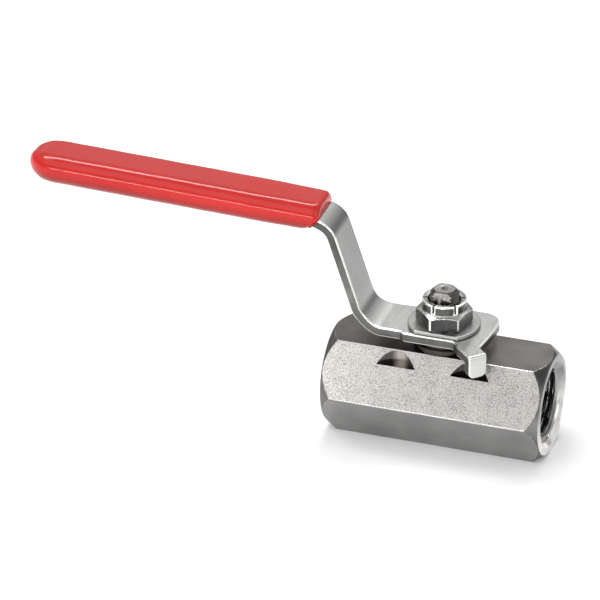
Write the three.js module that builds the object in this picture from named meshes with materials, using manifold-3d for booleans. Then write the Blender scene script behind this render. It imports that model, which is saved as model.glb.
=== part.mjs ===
// Quarter-turn water shutoff valve: a one-piece ball valve with a hexagonal body, half-inch
// female pipe threads, a cranked flat lever with a vinyl grip, and a slotted locknut on the stem.
// Millimetres, +Z up. The bore runs along X and the stem stands along +Z, over the origin.
// The origin is the middle of the body's bottom flat. The valve is open: the lever lies over
// the bore line towards -X, and it turns a quarter turn clockwise, seen from above, to close.

import * as THREE from 'three';
import { mergeVertices } from 'three/addons/utils/BufferGeometryUtils.js';
import Module from 'manifold-3d';

const wasm = await Module();
wasm.setup();

// ---------------------------------------------------------------- driving dimensions

const DEGREE = Math.PI / 180;
const GAP = 0.1; // between pieces that bear on each other along an axis
const FIT = 0.25; // around a piece that sits in a pocket of its neighbour
const CORNER_MARGIN = 0.05; // between a hexagon's corners and the cone that trims them

// Body: a bar of hexagonal stock, one flat up and one flat down
const ACROSS_FLATS = 27.0;
const BODY_LENGTH = 59.4;
const END_FACE_RADIUS = 13.25;
const END_CHAMFER_LENGTH = 3.2;
const BODY_SIDES = 48;

// Pipe sockets: half-inch taper thread, drawn as the cone of its crests
const COUNTERSINK_RADIUS = 11.5;
const COUNTERSINK_DEPTH = 1.4;
const THREAD_ROOT_RADIUS = 10.1;
const THREAD_CREST_RADIUS = 9.16;
const THREAD_LEAD_IN = 0.9;
const PIPE_TAPER = 1 / 32;
const SOCKET_DEPTH = 15.5;

// Ball and the bore that holds it
const BALL_RADIUS = 7.95;
const PORT_RADIUS = 4.6;
const WATERWAY_RADIUS = 4.9;
const CAVITY_RADIUS = 8.15;
const SEAT_SPAN = 9.15; // from the stem axis to the back of each seat pocket
const BALL_SLOT_FLOOR = 5.6; // above the bore axis
const BALL_SLOT_WIDTH = 4.0;
const BALL_SIDES = 28;

// Seats
const SEAT_BORE_RADIUS = 4.8;
const SEAT_CONTACT_RADIUS = 7.1;
const SEAT_OUTER_RADIUS = 7.95;

// Threaded retainer that closes the right end of the ball cavity
const RETAINER_RADIUS = 8.45;
const RETAINER_THREAD_RADIUS = 8.6;
const RETAINER_LENGTH = 4.7;
const RETAINER_NOSE_RADIUS = 6.9;
const RETAINER_NOSE_LENGTH = 1.1;
const SPANNER_SLOT_WIDTH = 2.4;
const SPANNER_SLOT_DEPTH = 1.6;
const RETAINER_SEAL_RADIUS = 8.4;
const RETAINER_SEAL_THICKNESS = 0.8;

// Stem: five-sixteenths thread with two flats, blow-out shoulder and a tang in the ball's slot
const STEM_RADIUS = 3.95;
const STEM_HALF_FLATS = 2.65;
const STEM_TOP = 43.0;
const STEM_CHAMFER = 1.2;
const STEM_FLATS_START = 28.6;
const STEM_TANG_OVERLAP = 0.5; // of the tang's root inside the shoulder
const SHOULDER_RADIUS = 5.0;
const SHOULDER_RECESS_RADIUS = 5.3;
const SHOULDER_BOTTOM = 21.7;
const SHOULDER_THICKNESS = 1.2;
const TANG_THICKNESS = 3.6;
const TANG_WIDTH = 7.2;
const THRUST_WASHER_THICKNESS = 0.5;
const ROUND_SIDES = 32;

// Stem packing and gland
const PACKING_BORE_RADIUS = 5.65;
const PACKING_OUTER_RADIUS = 5.5;
const PACKING_INNER_RADIUS = 4.1;
const PACKING_FLOOR = 25.0;
const PACKING_RING_HEIGHT = 0.5;
const PACKING_RIDGE = 0.3;
const GLAND_RADIUS = 8.0;
const GLAND_FLANGE_BOTTOM = 27.15;
const GLAND_TOP = 28.5;
const GLAND_SKIRT_RADIUS = 5.45;

// Disc springs between gland and lever
const SPRING_OUTER_RADIUS = 7.0;
const SPRING_INNER_RADIUS = 4.3;
const SPRING_THICKNESS = 0.25;
const SPRING_CONE_HEIGHT = 0.15;

// Lever: flat strip with a plate over the body, a steep riser and a tail inside the grip
const STRAP_THICKNESS = 2.7;
const PLATE_TOP = 32.2;
const PLATE_RIGHT = 13.4;
const PLATE_BACK = 9.55;
const PLATE_FRONT = -7.8;
const PLATE_STEP_X = -9.3; // where the plate widens at the front
const PLATE_STEP_LENGTH = 1.4;
const PLATE_CORNER_RADIUS = 4.8;
const BACK_TAPER_START_X = 3.0; // the back edge runs in from here to the lower bend
const BACK_TAPER_END_X = -13.9;
const BACK_TAPER_HANDLE = 6.5;
const BEND_RADIUS = 6.7;
const RISER_TILT = 71.3 * DEGREE;
const RISER_LENGTH = 19.95; // straight stretch between the two bends
const PLATE_BEND_X = -14.9;
const TAIL_TILT = 1.8 * DEGREE;
const TAIL_END_X = -110.0;
const RISER_HALF_WIDTH = 5.95;
const SHOULDER_HALF_WIDTH = 6.9;
const TAIL_HALF_WIDTH = 5.0;
const FLARE_START_X = -22.0; // the riser widens into the plate from here
const FLARE_HANDLE = 3.0;
const NECK_WIDE_X = -31.5; // the riser narrows into the tail between these two
const NECK_NARROW_X = -36.5;

// Stop tab, folded down from the plate, and the two notches in the body that stop it
const TAB_AZIMUTH = 45 * DEGREE; // from the front of the body towards +X
const TAB_WIDTH = 5.2;
const TAB_INNER_REACH = 16.0;
const TAB_INNER_RADIUS = 0.5;
const TAB_OUTER_RADIUS = 0.8;
const TAB_BOTTOM = 25.8;
const TAB_CORNER_RADIUS = 1.6;
const TAB_ROOT = 9.0; // from the stem axis, inside the plate
const TAB_NEAR_REACH = 11.9; // where the plate's front edge meets the tab
const TAB_FAR_REACH = 14.7; // where the plate's right edge meets the tab
const TAB_FILLET_START_X = 3.5;
const TAB_FILLET_MIDDLE_X = 5.4;
const PLATE_WAIST = [12.6, -6.0]; // between the tab and the right edge
const PLATE_WAIST_END = [13.0, -2.5];
const NOTCH_X = 10.0;
const NOTCH_Y = -15.3;
const NOTCH_RADIUS = 7.4;
const NOTCH_FLOOR = 23.06;

// Grip
const GRIP_MOUTH_X = -32.5;
const GRIP_TIP_X = -113.7;
const GRIP_WIDTH = 14.2;
const GRIP_HEIGHT = 8.0;
const GRIP_EDGE_RADIUS = 3.6;
const GRIP_NOSE_LENGTH = 9.5;
const GRIP_NOSE_DEPTH = 5.0;
const GRIP_MOUTH_SLANT = 3.8;
const GRIP_REFERENCE_X = -38.0;
const GRIP_REFERENCE_Z = 60.1;

// Washer and slotted locknut
const WASHER_RADIUS = 9.5;
const WASHER_FLAT = -7.5; // its flat front edge, in line with the plate's
const WASHER_THICKNESS = 1.05;
const NUT_ACROSS_FLATS = 13.1;
const NUT_HEX_HEIGHT = 4.0;
const NUT_CHAMFER = 0.6;
const NUT_CROWN_OVERLAP = 0.5;
const NUT_CROWN_RADIUS = 5.9;
const NUT_CROWN_STEP = 0.5; // width of the flat ring round the crown
const NUT_CROWN_HEIGHT = 2.8;
const NUT_SLOT_WIDTH = 0.5;
const NUT_SLOT_DEPTH = 2.2;
const NUT_TURN = 16 * DEGREE;
const STEM_CLEARANCE_RADIUS = 4.15;

// Worked out from the above
const AXIS_Z = ACROSS_FLATS / 2;
const BODY_TOP = ACROSS_FLATS;
const HALF_LENGTH = BODY_LENGTH / 2;
const HEX_CORNER_RADIUS = ACROSS_FLATS / Math.sqrt(3);
const SOCKET_FLOOR_X = HALF_LENGTH - SOCKET_DEPTH;
const PLATE_BOTTOM = PLATE_TOP - STRAP_THICKNESS;
const SHOULDER_TOP = SHOULDER_BOTTOM + SHOULDER_THICKNESS;
const RECESS_TOP = SHOULDER_TOP + THRUST_WASHER_THICKNESS + 2 * GAP;
const NUT_BOTTOM = PLATE_TOP + WASHER_THICKNESS + 2 * GAP;

// ---------------------------------------------------------------- solids from three.js geometry

function solid(geometry) {
  geometry.deleteAttribute('normal');
  geometry.deleteAttribute('uv');
  const merged = mergeVertices(geometry, 1e-5);
  const corners = merged.getIndex().array;
  const kept = [];
  for (let i = 0; i < corners.length; i += 3) {
    const [a, b, c] = [corners[i], corners[i + 1], corners[i + 2]];
    if (a !== b && b !== c && c !== a) kept.push(a, b, c);
  }
  const mesh = new wasm.Mesh({
    numProp: 3,
    vertProperties: new Float32Array(merged.getAttribute('position').array),
    triVerts: new Uint32Array(kept),
  });
  return new wasm.Manifold(mesh);
}

function part(name, body, look) {
  const mesh = body.getMesh();
  const geometry = new THREE.BufferGeometry();
  geometry.setAttribute('position', new THREE.BufferAttribute(mesh.vertProperties, 3));
  geometry.setIndex(new THREE.BufferAttribute(mesh.triVerts, 1));
  geometry.computeVertexNormals();
  const piece = new THREE.Mesh(geometry, new THREE.MeshStandardMaterial(look));
  piece.name = name;
  return piece;
}

function points(pairs) {
  return pairs.map(([x, y]) => new THREE.Vector2(x, y));
}

// A turned piece about the stem axis: pairs of radius and height, outer side first
function turnedOnStem(pairs, sides = ROUND_SIDES) {
  return solid(new THREE.LatheGeometry(points(pairs), sides).rotateX(Math.PI / 2));
}

// A turned piece about the bore axis: pairs of radius and X, outer side first
function turnedOnBore(pairs, sides = ROUND_SIDES) {
  const geometry = new THREE.LatheGeometry(points(pairs), sides);
  return solid(geometry.rotateZ(-Math.PI / 2).translate(0, 0, AXIS_Z));
}

function ring(inner, outer, bottom, top) {
  return turnedOnStem([
    [inner, bottom],
    [outer, bottom],
    [outer, top],
    [inner, top],
    [inner, bottom],
  ]);
}

function rod(radius, bottom, top, sides = ROUND_SIDES) {
  return turnedOnStem([[0, bottom], [radius, bottom], [radius, top], [0, top]], sides);
}

function block(x0, x1, y0, y1, z0, z1) {
  const geometry = new THREE.BoxGeometry(x1 - x0, y1 - y0, z1 - z0);
  return solid(geometry.translate((x0 + x1) / 2, (y0 + y1) / 2, (z0 + z1) / 2));
}

// A flat outline drawn in X and Y, standing between two heights
function standing(shape, bottom, top, curveSegments = 8) {
  const options = { depth: top - bottom, bevelEnabled: false, curveSegments };
  return solid(new THREE.ExtrudeGeometry(shape, options).translate(0, 0, bottom));
}

// A side outline drawn in X and Z, as wide as given and centred on Y = 0
function acrossY(shape, width, curveSegments = 8) {
  const options = { depth: width, bevelEnabled: false, curveSegments };
  const geometry = new THREE.ExtrudeGeometry(shape, options).rotateX(Math.PI / 2);
  return solid(geometry.translate(0, width / 2, 0));
}

function hexagon(acrossFlats, firstCorner) {
  const radius = acrossFlats / Math.sqrt(3);
  const corners = [];
  for (let i = 0; i < 6; i += 1) {
    const angle = firstCorner + i * 60 * DEGREE;
    corners.push([radius * Math.cos(angle), radius * Math.sin(angle)]);
  }
  return new THREE.Shape(points(corners));
}

// Round bar with two flats facing front and back
function doubleFlatRod(radius, halfFlats, bottom, top) {
  return rod(radius, bottom, top).intersect(block(-radius, radius, -halfFlats, halfFlats, bottom, top));
}

// ---------------------------------------------------------------- body

// Socket for a pipe, cut inwards from one end face; side is +1 or -1
function pipeSocket(side) {
  const beyond = 1.0;
  const crestAt = (depth) => THREAD_CREST_RADIUS - depth * PIPE_TAPER;
  const leadEnd = COUNTERSINK_DEPTH + THREAD_LEAD_IN;
  const profile = [
    [0, SOCKET_FLOOR_X],
    [crestAt(SOCKET_DEPTH), SOCKET_FLOOR_X],
    [crestAt(leadEnd), HALF_LENGTH - leadEnd],
    [THREAD_ROOT_RADIUS, HALF_LENGTH - COUNTERSINK_DEPTH],
    [COUNTERSINK_RADIUS, HALF_LENGTH],
    [COUNTERSINK_RADIUS, HALF_LENGTH + beyond],
    [0, HALF_LENGTH + beyond],
  ];
  const socket = turnedOnBore(profile, BODY_SIDES);
  return side > 0 ? socket : socket.mirror([1, 0, 0]);
}

// The cavity for ball, seats and retainer is open to the right socket only
function ballCavity() {
  return turnedOnBore([
    [0, -SEAT_SPAN],
    [CAVITY_RADIUS, -SEAT_SPAN],
    [CAVITY_RADIUS, SEAT_SPAN],
    [RETAINER_THREAD_RADIUS, SEAT_SPAN],
    [RETAINER_THREAD_RADIUS, SOCKET_FLOOR_X + GAP],
    [0, SOCKET_FLOOR_X + GAP],
  ], BODY_SIDES);
}

function hexagonalBar() {
  const shape = hexagon(ACROSS_FLATS, 0);
  const options = { depth: BODY_LENGTH, bevelEnabled: false };
  const geometry = new THREE.ExtrudeGeometry(shape, options);
  // the extrusion runs along X, with one corner at the front and one at the back
  geometry.translate(0, 0, -HALF_LENGTH).rotateY(Math.PI / 2).rotateX(Math.PI / 2);
  return solid(geometry.translate(0, 0, AXIS_Z));
}

function chamferedEnvelope() {
  const outside = HEX_CORNER_RADIUS + CORNER_MARGIN;
  const chamferX = HALF_LENGTH - END_CHAMFER_LENGTH;
  return turnedOnBore([
    [0, -HALF_LENGTH],
    [END_FACE_RADIUS, -HALF_LENGTH],
    [outside, -chamferX],
    [outside, chamferX],
    [END_FACE_RADIUS, HALF_LENGTH],
    [0, HALF_LENGTH],
  ], BODY_SIDES);
}

function stopNotch(side) {
  const shape = new THREE.Shape();
  shape.absarc(side * NOTCH_X, NOTCH_Y, NOTCH_RADIUS, 0, 2 * Math.PI, false);
  return standing(shape, NOTCH_FLOOR, BODY_TOP + 1, 20);
}

function valveBody() {
  const waterway = turnedOnBore([
    [0, -HALF_LENGTH],
    [WATERWAY_RADIUS, -HALF_LENGTH],
    [WATERWAY_RADIUS, 0],
    [0, 0],
  ]);
  return hexagonalBar()
    .intersect(chamferedEnvelope())
    .subtract(waterway)
    .subtract(ballCavity())
    .subtract(pipeSocket(1))
    .subtract(pipeSocket(-1))
    .subtract(rod(SHOULDER_RECESS_RADIUS, AXIS_Z, RECESS_TOP))
    .subtract(rod(STEM_CLEARANCE_RADIUS, AXIS_Z, BODY_TOP + 1))
    .subtract(rod(PACKING_BORE_RADIUS, PACKING_FLOOR, BODY_TOP + 1))
    .subtract(stopNotch(1))
    .subtract(stopNotch(-1));
}

// ---------------------------------------------------------------- ball, seats and retainer

function ball() {
  const round = new THREE.SphereGeometry(BALL_RADIUS, BALL_SIDES, BALL_SIDES / 2);
  const sphere = solid(round.rotateX(Math.PI / 2).translate(0, 0, AXIS_Z));
  const port = turnedOnBore([
    [0, -BALL_RADIUS - 1],
    [PORT_RADIUS, -BALL_RADIUS - 1],
    [PORT_RADIUS, BALL_RADIUS + 1],
    [0, BALL_RADIUS + 1],
  ], BALL_SIDES);
  const halfSlot = BALL_SLOT_WIDTH / 2;
  const reach = BALL_RADIUS + 1;
  const slot = block(-halfSlot, halfSlot, -reach, reach, AXIS_Z + BALL_SLOT_FLOOR, AXIS_Z + reach);
  return sphere.subtract(port).subtract(slot);
}

// A polymer ring with a hollow face that follows the ball
function seat(side) {
  const faceRadius = BALL_RADIUS + FIT;
  const steps = 5;
  const profile = [];
  for (let i = 0; i <= steps; i += 1) {
    const radius = SEAT_BORE_RADIUS + (SEAT_CONTACT_RADIUS - SEAT_BORE_RADIUS) * (i / steps);
    profile.push([radius, Math.sqrt(faceRadius ** 2 - radius ** 2)]);
  }
  const frontX = profile[steps][1];
  profile.push([SEAT_OUTER_RADIUS, frontX]);
  profile.push([SEAT_OUTER_RADIUS, SEAT_SPAN - GAP]);
  profile.push([SEAT_BORE_RADIUS, SEAT_SPAN - GAP]);
  profile.push(profile[0]);
  const right = turnedOnBore(profile);
  return side > 0 ? right : right.mirror([1, 0, 0]);
}

function seatRetainer() {
  const noseX = SEAT_SPAN + GAP;
  const stepX = noseX + RETAINER_NOSE_LENGTH;
  const outerX = noseX + RETAINER_LENGTH;
  const insert = turnedOnBore([
    [WATERWAY_RADIUS, noseX],
    [RETAINER_NOSE_RADIUS, noseX],
    [RETAINER_NOSE_RADIUS, stepX],
    [RETAINER_RADIUS, stepX],
    [RETAINER_RADIUS, outerX],
    [WATERWAY_RADIUS, outerX],
    [WATERWAY_RADIUS, noseX],
  ], BODY_SIDES);
  const half = SPANNER_SLOT_WIDTH / 2;
  const reach = RETAINER_RADIUS + 1;
  const slotFloor = outerX - SPANNER_SLOT_DEPTH;
  const slot = block(slotFloor, outerX + 1, -half, half, AXIS_Z - reach, AXIS_Z + reach);
  return insert.subtract(slot);
}

function retainerSeal() {
  const startX = SEAT_SPAN + GAP;
  const endX = startX + RETAINER_SEAL_THICKNESS;
  const inner = RETAINER_NOSE_RADIUS + GAP;
  return turnedOnBore([
    [inner, startX],
    [RETAINER_SEAL_RADIUS, startX],
    [RETAINER_SEAL_RADIUS, endX],
    [inner, endX],
    [inner, startX],
  ]);
}

// ---------------------------------------------------------------- stem, packing and gland

function stem() {
  const shaft = turnedOnStem([
    [0, SHOULDER_BOTTOM],
    [SHOULDER_RADIUS, SHOULDER_BOTTOM],
    [SHOULDER_RADIUS, SHOULDER_TOP],
    [STEM_RADIUS, SHOULDER_TOP],
    [STEM_RADIUS, STEM_TOP - STEM_CHAMFER],
    [STEM_RADIUS - STEM_CHAMFER, STEM_TOP],
    [0, STEM_TOP],
  ]);
  const tangBottom = AXIS_Z + BALL_SLOT_FLOOR + FIT;
  const tangTop = SHOULDER_BOTTOM + STEM_TANG_OVERLAP;
  const halfTang = TANG_THICKNESS / 2;
  const halfWidth = TANG_WIDTH / 2;
  const tang = block(-halfTang, halfTang, -halfWidth, halfWidth, tangBottom, tangTop);
  let piece = shaft.add(tang);
  for (const side of [1, -1]) {
    const near = side * STEM_HALF_FLATS;
    const far = side * (STEM_RADIUS + 1);
    const front = Math.min(near, far);
    const back = Math.max(near, far);
    const cut = block(-SHOULDER_RADIUS, SHOULDER_RADIUS, front, back, STEM_FLATS_START, STEM_TOP + 1);
    piece = piece.subtract(cut);
  }
  return piece;
}

function thrustWasher() {
  return ring(PACKING_INNER_RADIUS, SHOULDER_RADIUS, SHOULDER_TOP + GAP, RECESS_TOP - GAP);
}

// Packing ring whose lower and upper faces are flat, or rise to a ridge half way across
function packingRing(level, lowerRidge, upperRidge) {
  const bottom = PACKING_FLOOR + GAP + level * (PACKING_RING_HEIGHT + GAP);
  const top = bottom + PACKING_RING_HEIGHT;
  const middle = (PACKING_INNER_RADIUS + PACKING_OUTER_RADIUS) / 2;
  return turnedOnStem([
    [PACKING_INNER_RADIUS, bottom],
    [middle, bottom + lowerRidge],
    [PACKING_OUTER_RADIUS, bottom],
    [PACKING_OUTER_RADIUS, top],
    [middle, top + upperRidge],
    [PACKING_INNER_RADIUS, top],
    [PACKING_INNER_RADIUS, bottom],
  ]);
}

function glandFollower() {
  const skirtBottom = PACKING_FLOOR + 3 * (PACKING_RING_HEIGHT + GAP) + GAP;
  return turnedOnStem([
    [STEM_CLEARANCE_RADIUS, skirtBottom],
    [GLAND_SKIRT_RADIUS, skirtBottom],
    [GLAND_SKIRT_RADIUS, GLAND_FLANGE_BOTTOM],
    [GLAND_RADIUS, GLAND_FLANGE_BOTTOM],
    [GLAND_RADIUS, GLAND_TOP],
    [STEM_CLEARANCE_RADIUS, GLAND_TOP],
    [STEM_CLEARANCE_RADIUS, skirtBottom],
  ]);
}

function discSpring(level) {
  const rim = GLAND_TOP + GAP + level * (SPRING_THICKNESS + GAP);
  const eye = rim + SPRING_CONE_HEIGHT;
  return turnedOnStem([
    [SPRING_INNER_RADIUS, eye],
    [SPRING_OUTER_RADIUS, rim],
    [SPRING_OUTER_RADIUS, rim + SPRING_THICKNESS],
    [SPRING_INNER_RADIUS, eye + SPRING_THICKNESS],
    [SPRING_INNER_RADIUS, eye],
  ]);
}

// ---------------------------------------------------------------- lever

// Centres of the two bends and the place where the top of the tail begins
function bends() {
  const lower = { x: PLATE_BEND_X, z: PLATE_TOP + BEND_RADIUS };
  const riserStart = {
    x: lower.x - BEND_RADIUS * Math.sin(RISER_TILT),
    z: lower.z - BEND_RADIUS * Math.cos(RISER_TILT),
  };
  const riserEnd = {
    x: riserStart.x - RISER_LENGTH * Math.cos(RISER_TILT),
    z: riserStart.z + RISER_LENGTH * Math.sin(RISER_TILT),
  };
  const upper = {
    x: riserEnd.x - BEND_RADIUS * Math.sin(RISER_TILT),
    z: riserEnd.z - BEND_RADIUS * Math.cos(RISER_TILT),
  };
  const tailStart = {
    x: upper.x + BEND_RADIUS * Math.sin(TAIL_TILT),
    z: upper.z + BEND_RADIUS * Math.cos(TAIL_TILT),
  };
  return { lower, upper, tailStart };
}

// Side outline of the strip, made thicker all round by grow
function strapSideOutline(grow) {
  const { lower, upper, tailStart } = bends();
  const right = PLATE_RIGHT + STRAP_THICKNESS;
  const left = TAIL_END_X - grow;
  const rise = (tailStart.x - left) * Math.tan(TAIL_TILT);
  const down = -90 * DEGREE;
  const riserFromLower = down - RISER_TILT;
  const riserFromUpper = 90 * DEGREE - RISER_TILT;
  const tailFromUpper = 90 * DEGREE - TAIL_TILT;
  const inner = BEND_RADIUS - STRAP_THICKNESS - grow;
  const outer = BEND_RADIUS + STRAP_THICKNESS + grow;
  const shape = new THREE.Shape();
  shape.moveTo(right, PLATE_BOTTOM - grow);
  shape.lineTo(right, PLATE_TOP + grow);
  shape.absarc(lower.x, lower.z, BEND_RADIUS - grow, down, riserFromLower, true);
  shape.absarc(upper.x, upper.z, BEND_RADIUS + grow, riserFromUpper, tailFromUpper, false);
  shape.lineTo(left, tailStart.z + rise + grow);
  shape.lineTo(left, tailStart.z + rise - STRAP_THICKNESS - grow);
  shape.absarc(upper.x, upper.z, inner, tailFromUpper, riserFromUpper, true);
  shape.absarc(lower.x, lower.z, outer, riserFromLower, down, false);
  return shape;
}

// Place in the plan on the tab: its distance from the stem axis, and sideways from its middle
function tabPoint(reach, sideways) {
  const turn = TAB_AZIMUTH - 90 * DEGREE;
  return [
    reach * Math.cos(turn) - sideways * Math.sin(turn),
    reach * Math.sin(turn) + sideways * Math.cos(turn),
  ];
}

// Plan outline of the strip, made wider by grow
function strapPlanOutline(grow) {
  const tail = TAIL_HALF_WIDTH + grow;
  const riser = RISER_HALF_WIDTH + grow;
  const neck = SHOULDER_HALF_WIDTH + grow;
  const stepEnd = PLATE_STEP_X + PLATE_STEP_LENGTH;
  const stepMiddleY = (PLATE_FRONT - neck) / 2;
  const corner = PLATE_CORNER_RADIUS;
  const taperEnd = BACK_TAPER_END_X + BACK_TAPER_HANDLE;
  const flareFoot = FLARE_START_X + FLARE_HANDLE;
  const flareHead = PLATE_BEND_X - FLARE_HANDLE;
  const near = tabPoint(TAB_NEAR_REACH, -TAB_WIDTH / 2);
  const far = tabPoint(TAB_FAR_REACH, TAB_WIDTH / 2);
  const shape = new THREE.Shape();
  shape.moveTo(TAIL_END_X - 2 * grow, tail);
  shape.lineTo(TAIL_END_X - 2 * grow, -tail);
  shape.lineTo(NECK_NARROW_X, -tail);
  shape.lineTo(NECK_WIDE_X, -riser);
  shape.lineTo(FLARE_START_X, -riser);
  shape.bezierCurveTo(flareFoot, -riser, flareHead, -neck, PLATE_BEND_X, -neck);
  shape.lineTo(PLATE_STEP_X - 1, -neck);
  shape.quadraticCurveTo(PLATE_STEP_X, -neck, PLATE_STEP_X, stepMiddleY);
  shape.quadraticCurveTo(PLATE_STEP_X, PLATE_FRONT, stepEnd, PLATE_FRONT);
  shape.lineTo(TAB_FILLET_START_X, PLATE_FRONT);
  shape.quadraticCurveTo(TAB_FILLET_MIDDLE_X, PLATE_FRONT, ...near);
  shape.lineTo(...far);
  shape.quadraticCurveTo(...PLATE_WAIST, ...PLATE_WAIST_END);
  shape.absarc(PLATE_RIGHT - corner, PLATE_BACK - corner, corner, 0, 90 * DEGREE, false);
  shape.lineTo(BACK_TAPER_START_X, PLATE_BACK);
  shape.bezierCurveTo(
    BACK_TAPER_START_X - BACK_TAPER_HANDLE,
    PLATE_BACK,
    taperEnd,
    neck,
    BACK_TAPER_END_X,
    neck,
  );
  shape.lineTo(PLATE_BEND_X, neck);
  shape.bezierCurveTo(flareHead, neck, flareFoot, riser, FLARE_START_X, riser);
  shape.lineTo(NECK_WIDE_X, riser);
  shape.lineTo(NECK_NARROW_X, tail);
  return shape;
}

function strap(grow) {
  const side = acrossY(strapSideOutline(grow), 4 * PLATE_BACK);
  const plan = standing(strapPlanOutline(grow), NOTCH_FLOOR, 3 * PLATE_TOP);
  return side.intersect(plan);
}

// The tab in the plane of its fold: the distance from the stem axis, and the height
function stopTab() {
  const innerCentre = TAB_INNER_REACH - TAB_INNER_RADIUS;
  const innerZ = PLATE_BOTTOM - TAB_INNER_RADIUS;
  const outerCentre = TAB_INNER_REACH + STRAP_THICKNESS - TAB_OUTER_RADIUS;
  const outerZ = PLATE_TOP - TAB_OUTER_RADIUS;
  const fold = new THREE.Shape();
  fold.moveTo(TAB_ROOT, PLATE_TOP);
  fold.lineTo(TAB_ROOT, PLATE_BOTTOM);
  fold.absarc(innerCentre, innerZ, TAB_INNER_RADIUS, 90 * DEGREE, 0, true);
  fold.lineTo(TAB_INNER_REACH, TAB_BOTTOM);
  fold.lineTo(TAB_INNER_REACH + STRAP_THICKNESS, TAB_BOTTOM);
  fold.absarc(outerCentre, outerZ, TAB_OUTER_RADIUS, 0, 90 * DEGREE, false);
  const half = TAB_WIDTH / 2;
  const inner = half - TAB_CORNER_RADIUS;
  const cornerZ = TAB_BOTTOM + TAB_CORNER_RADIUS;
  const front = new THREE.Shape();
  front.moveTo(half, PLATE_TOP + 1);
  front.lineTo(-half, PLATE_TOP + 1);
  front.absarc(-inner, cornerZ, TAB_CORNER_RADIUS, -180 * DEGREE, -90 * DEGREE, false);
  front.absarc(inner, cornerZ, TAB_CORNER_RADIUS, -90 * DEGREE, 0, false);
  const options = { depth: 2 * TAB_INNER_REACH, bevelEnabled: false, curveSegments: 6 };
  const across = new THREE.ExtrudeGeometry(front, options);
  // drawn facing +X: the outline lies in Y and Z
  across.rotateX(Math.PI / 2).rotateZ(Math.PI / 2);
  const tab = acrossY(fold, 2 * TAB_WIDTH).intersect(solid(across));
  return tab.rotate([0, 0, -90 + TAB_AZIMUTH / DEGREE]);
}

function handleLever() {
  const hole = doubleFlatRod(
    STEM_CLEARANCE_RADIUS,
    STEM_HALF_FLATS + FIT / 2,
    PLATE_BOTTOM - 1,
    PLATE_TOP + 1,
  );
  return strap(0).add(stopTab()).subtract(hole);
}

// ---------------------------------------------------------------- grip

function gripSection() {
  const halfWidth = GRIP_WIDTH / 2;
  const halfHeight = GRIP_HEIGHT / 2;
  const x = halfWidth - GRIP_EDGE_RADIUS;
  const y = halfHeight - GRIP_EDGE_RADIUS;
  const shape = new THREE.Shape();
  shape.absarc(x, y, GRIP_EDGE_RADIUS, 0, 90 * DEGREE, false);
  shape.absarc(-x, y, GRIP_EDGE_RADIUS, 90 * DEGREE, 180 * DEGREE, false);
  shape.absarc(-x, -y, GRIP_EDGE_RADIUS, 180 * DEGREE, 270 * DEGREE, false);
  shape.absarc(x, -y, GRIP_EDGE_RADIUS, 270 * DEGREE, 360 * DEGREE, false);
  return shape;
}

// Plan of the grip: square at the mouth, with a long rounded nose
function gripPlan() {
  const half = GRIP_WIDTH / 2;
  const noseX = GRIP_TIP_X + GRIP_NOSE_LENGTH;
  const shape = new THREE.Shape();
  shape.moveTo(GRIP_MOUTH_X, -half - 1);
  shape.lineTo(GRIP_MOUTH_X, half + 1);
  shape.lineTo(noseX, half + 1);
  shape.lineTo(noseX, half);
  shape.absellipse(noseX, 0, GRIP_NOSE_LENGTH, half, 90 * DEGREE, 270 * DEGREE, false, 0);
  shape.lineTo(noseX, -half - 1);
  return shape;
}

function gripMiddleZ(x) {
  return GRIP_REFERENCE_Z + (GRIP_REFERENCE_X - x) * Math.tan(TAIL_TILT);
}

// Side of the grip: rounded at the nose, and cut back under the mouth where the strip bends away
function gripSide() {
  const half = GRIP_HEIGHT / 2;
  const noseX = GRIP_TIP_X + GRIP_NOSE_DEPTH;
  const noseZ = gripMiddleZ(noseX);
  const mouthZ = gripMiddleZ(GRIP_MOUTH_X);
  const shape = new THREE.Shape();
  shape.moveTo(GRIP_MOUTH_X - GRIP_MOUTH_SLANT, mouthZ - half - 1);
  shape.lineTo(GRIP_MOUTH_X - GRIP_MOUTH_SLANT, mouthZ - half);
  shape.lineTo(GRIP_MOUTH_X, mouthZ);
  shape.lineTo(GRIP_MOUTH_X, mouthZ + half + 1);
  shape.lineTo(noseX, noseZ + half + 1);
  shape.lineTo(noseX, noseZ + half);
  shape.absellipse(noseX, noseZ, GRIP_NOSE_DEPTH, half, 90 * DEGREE, 270 * DEGREE, false, 0);
  shape.lineTo(noseX, noseZ - half - 1);
  return shape;
}

function handleGrip() {
  const length = GRIP_MOUTH_X - GRIP_TIP_X + 4;
  const options = { depth: length, bevelEnabled: false, curveSegments: 6 };
  const geometry = new THREE.ExtrudeGeometry(gripSection(), options);
  // the section faces along X, then the whole sleeve tilts up towards its tip
  geometry.rotateX(Math.PI / 2).rotateZ(Math.PI / 2).translate(-length / 2, 0, 0);
  geometry.rotateY(TAIL_TILT);
  const middleX = (GRIP_MOUTH_X + GRIP_TIP_X) / 2;
  geometry.translate(middleX, 0, gripMiddleZ(middleX));
  return solid(geometry)
    .intersect(standing(gripPlan(), PLATE_TOP, 3 * PLATE_TOP))
    .intersect(acrossY(gripSide(), 2 * GRIP_WIDTH))
    .subtract(strap(FIT));
}

// ---------------------------------------------------------------- washer and locknut

function nutWasher() {
  const bottom = PLATE_TOP + GAP;
  const top = bottom + WASHER_THICKNESS;
  const disc = ring(STEM_CLEARANCE_RADIUS, WASHER_RADIUS, bottom, top);
  const front = block(-WASHER_RADIUS, WASHER_RADIUS, -WASHER_RADIUS - 1, WASHER_FLAT, bottom - 1, top + 1);
  return disc.subtract(front);
}

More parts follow.
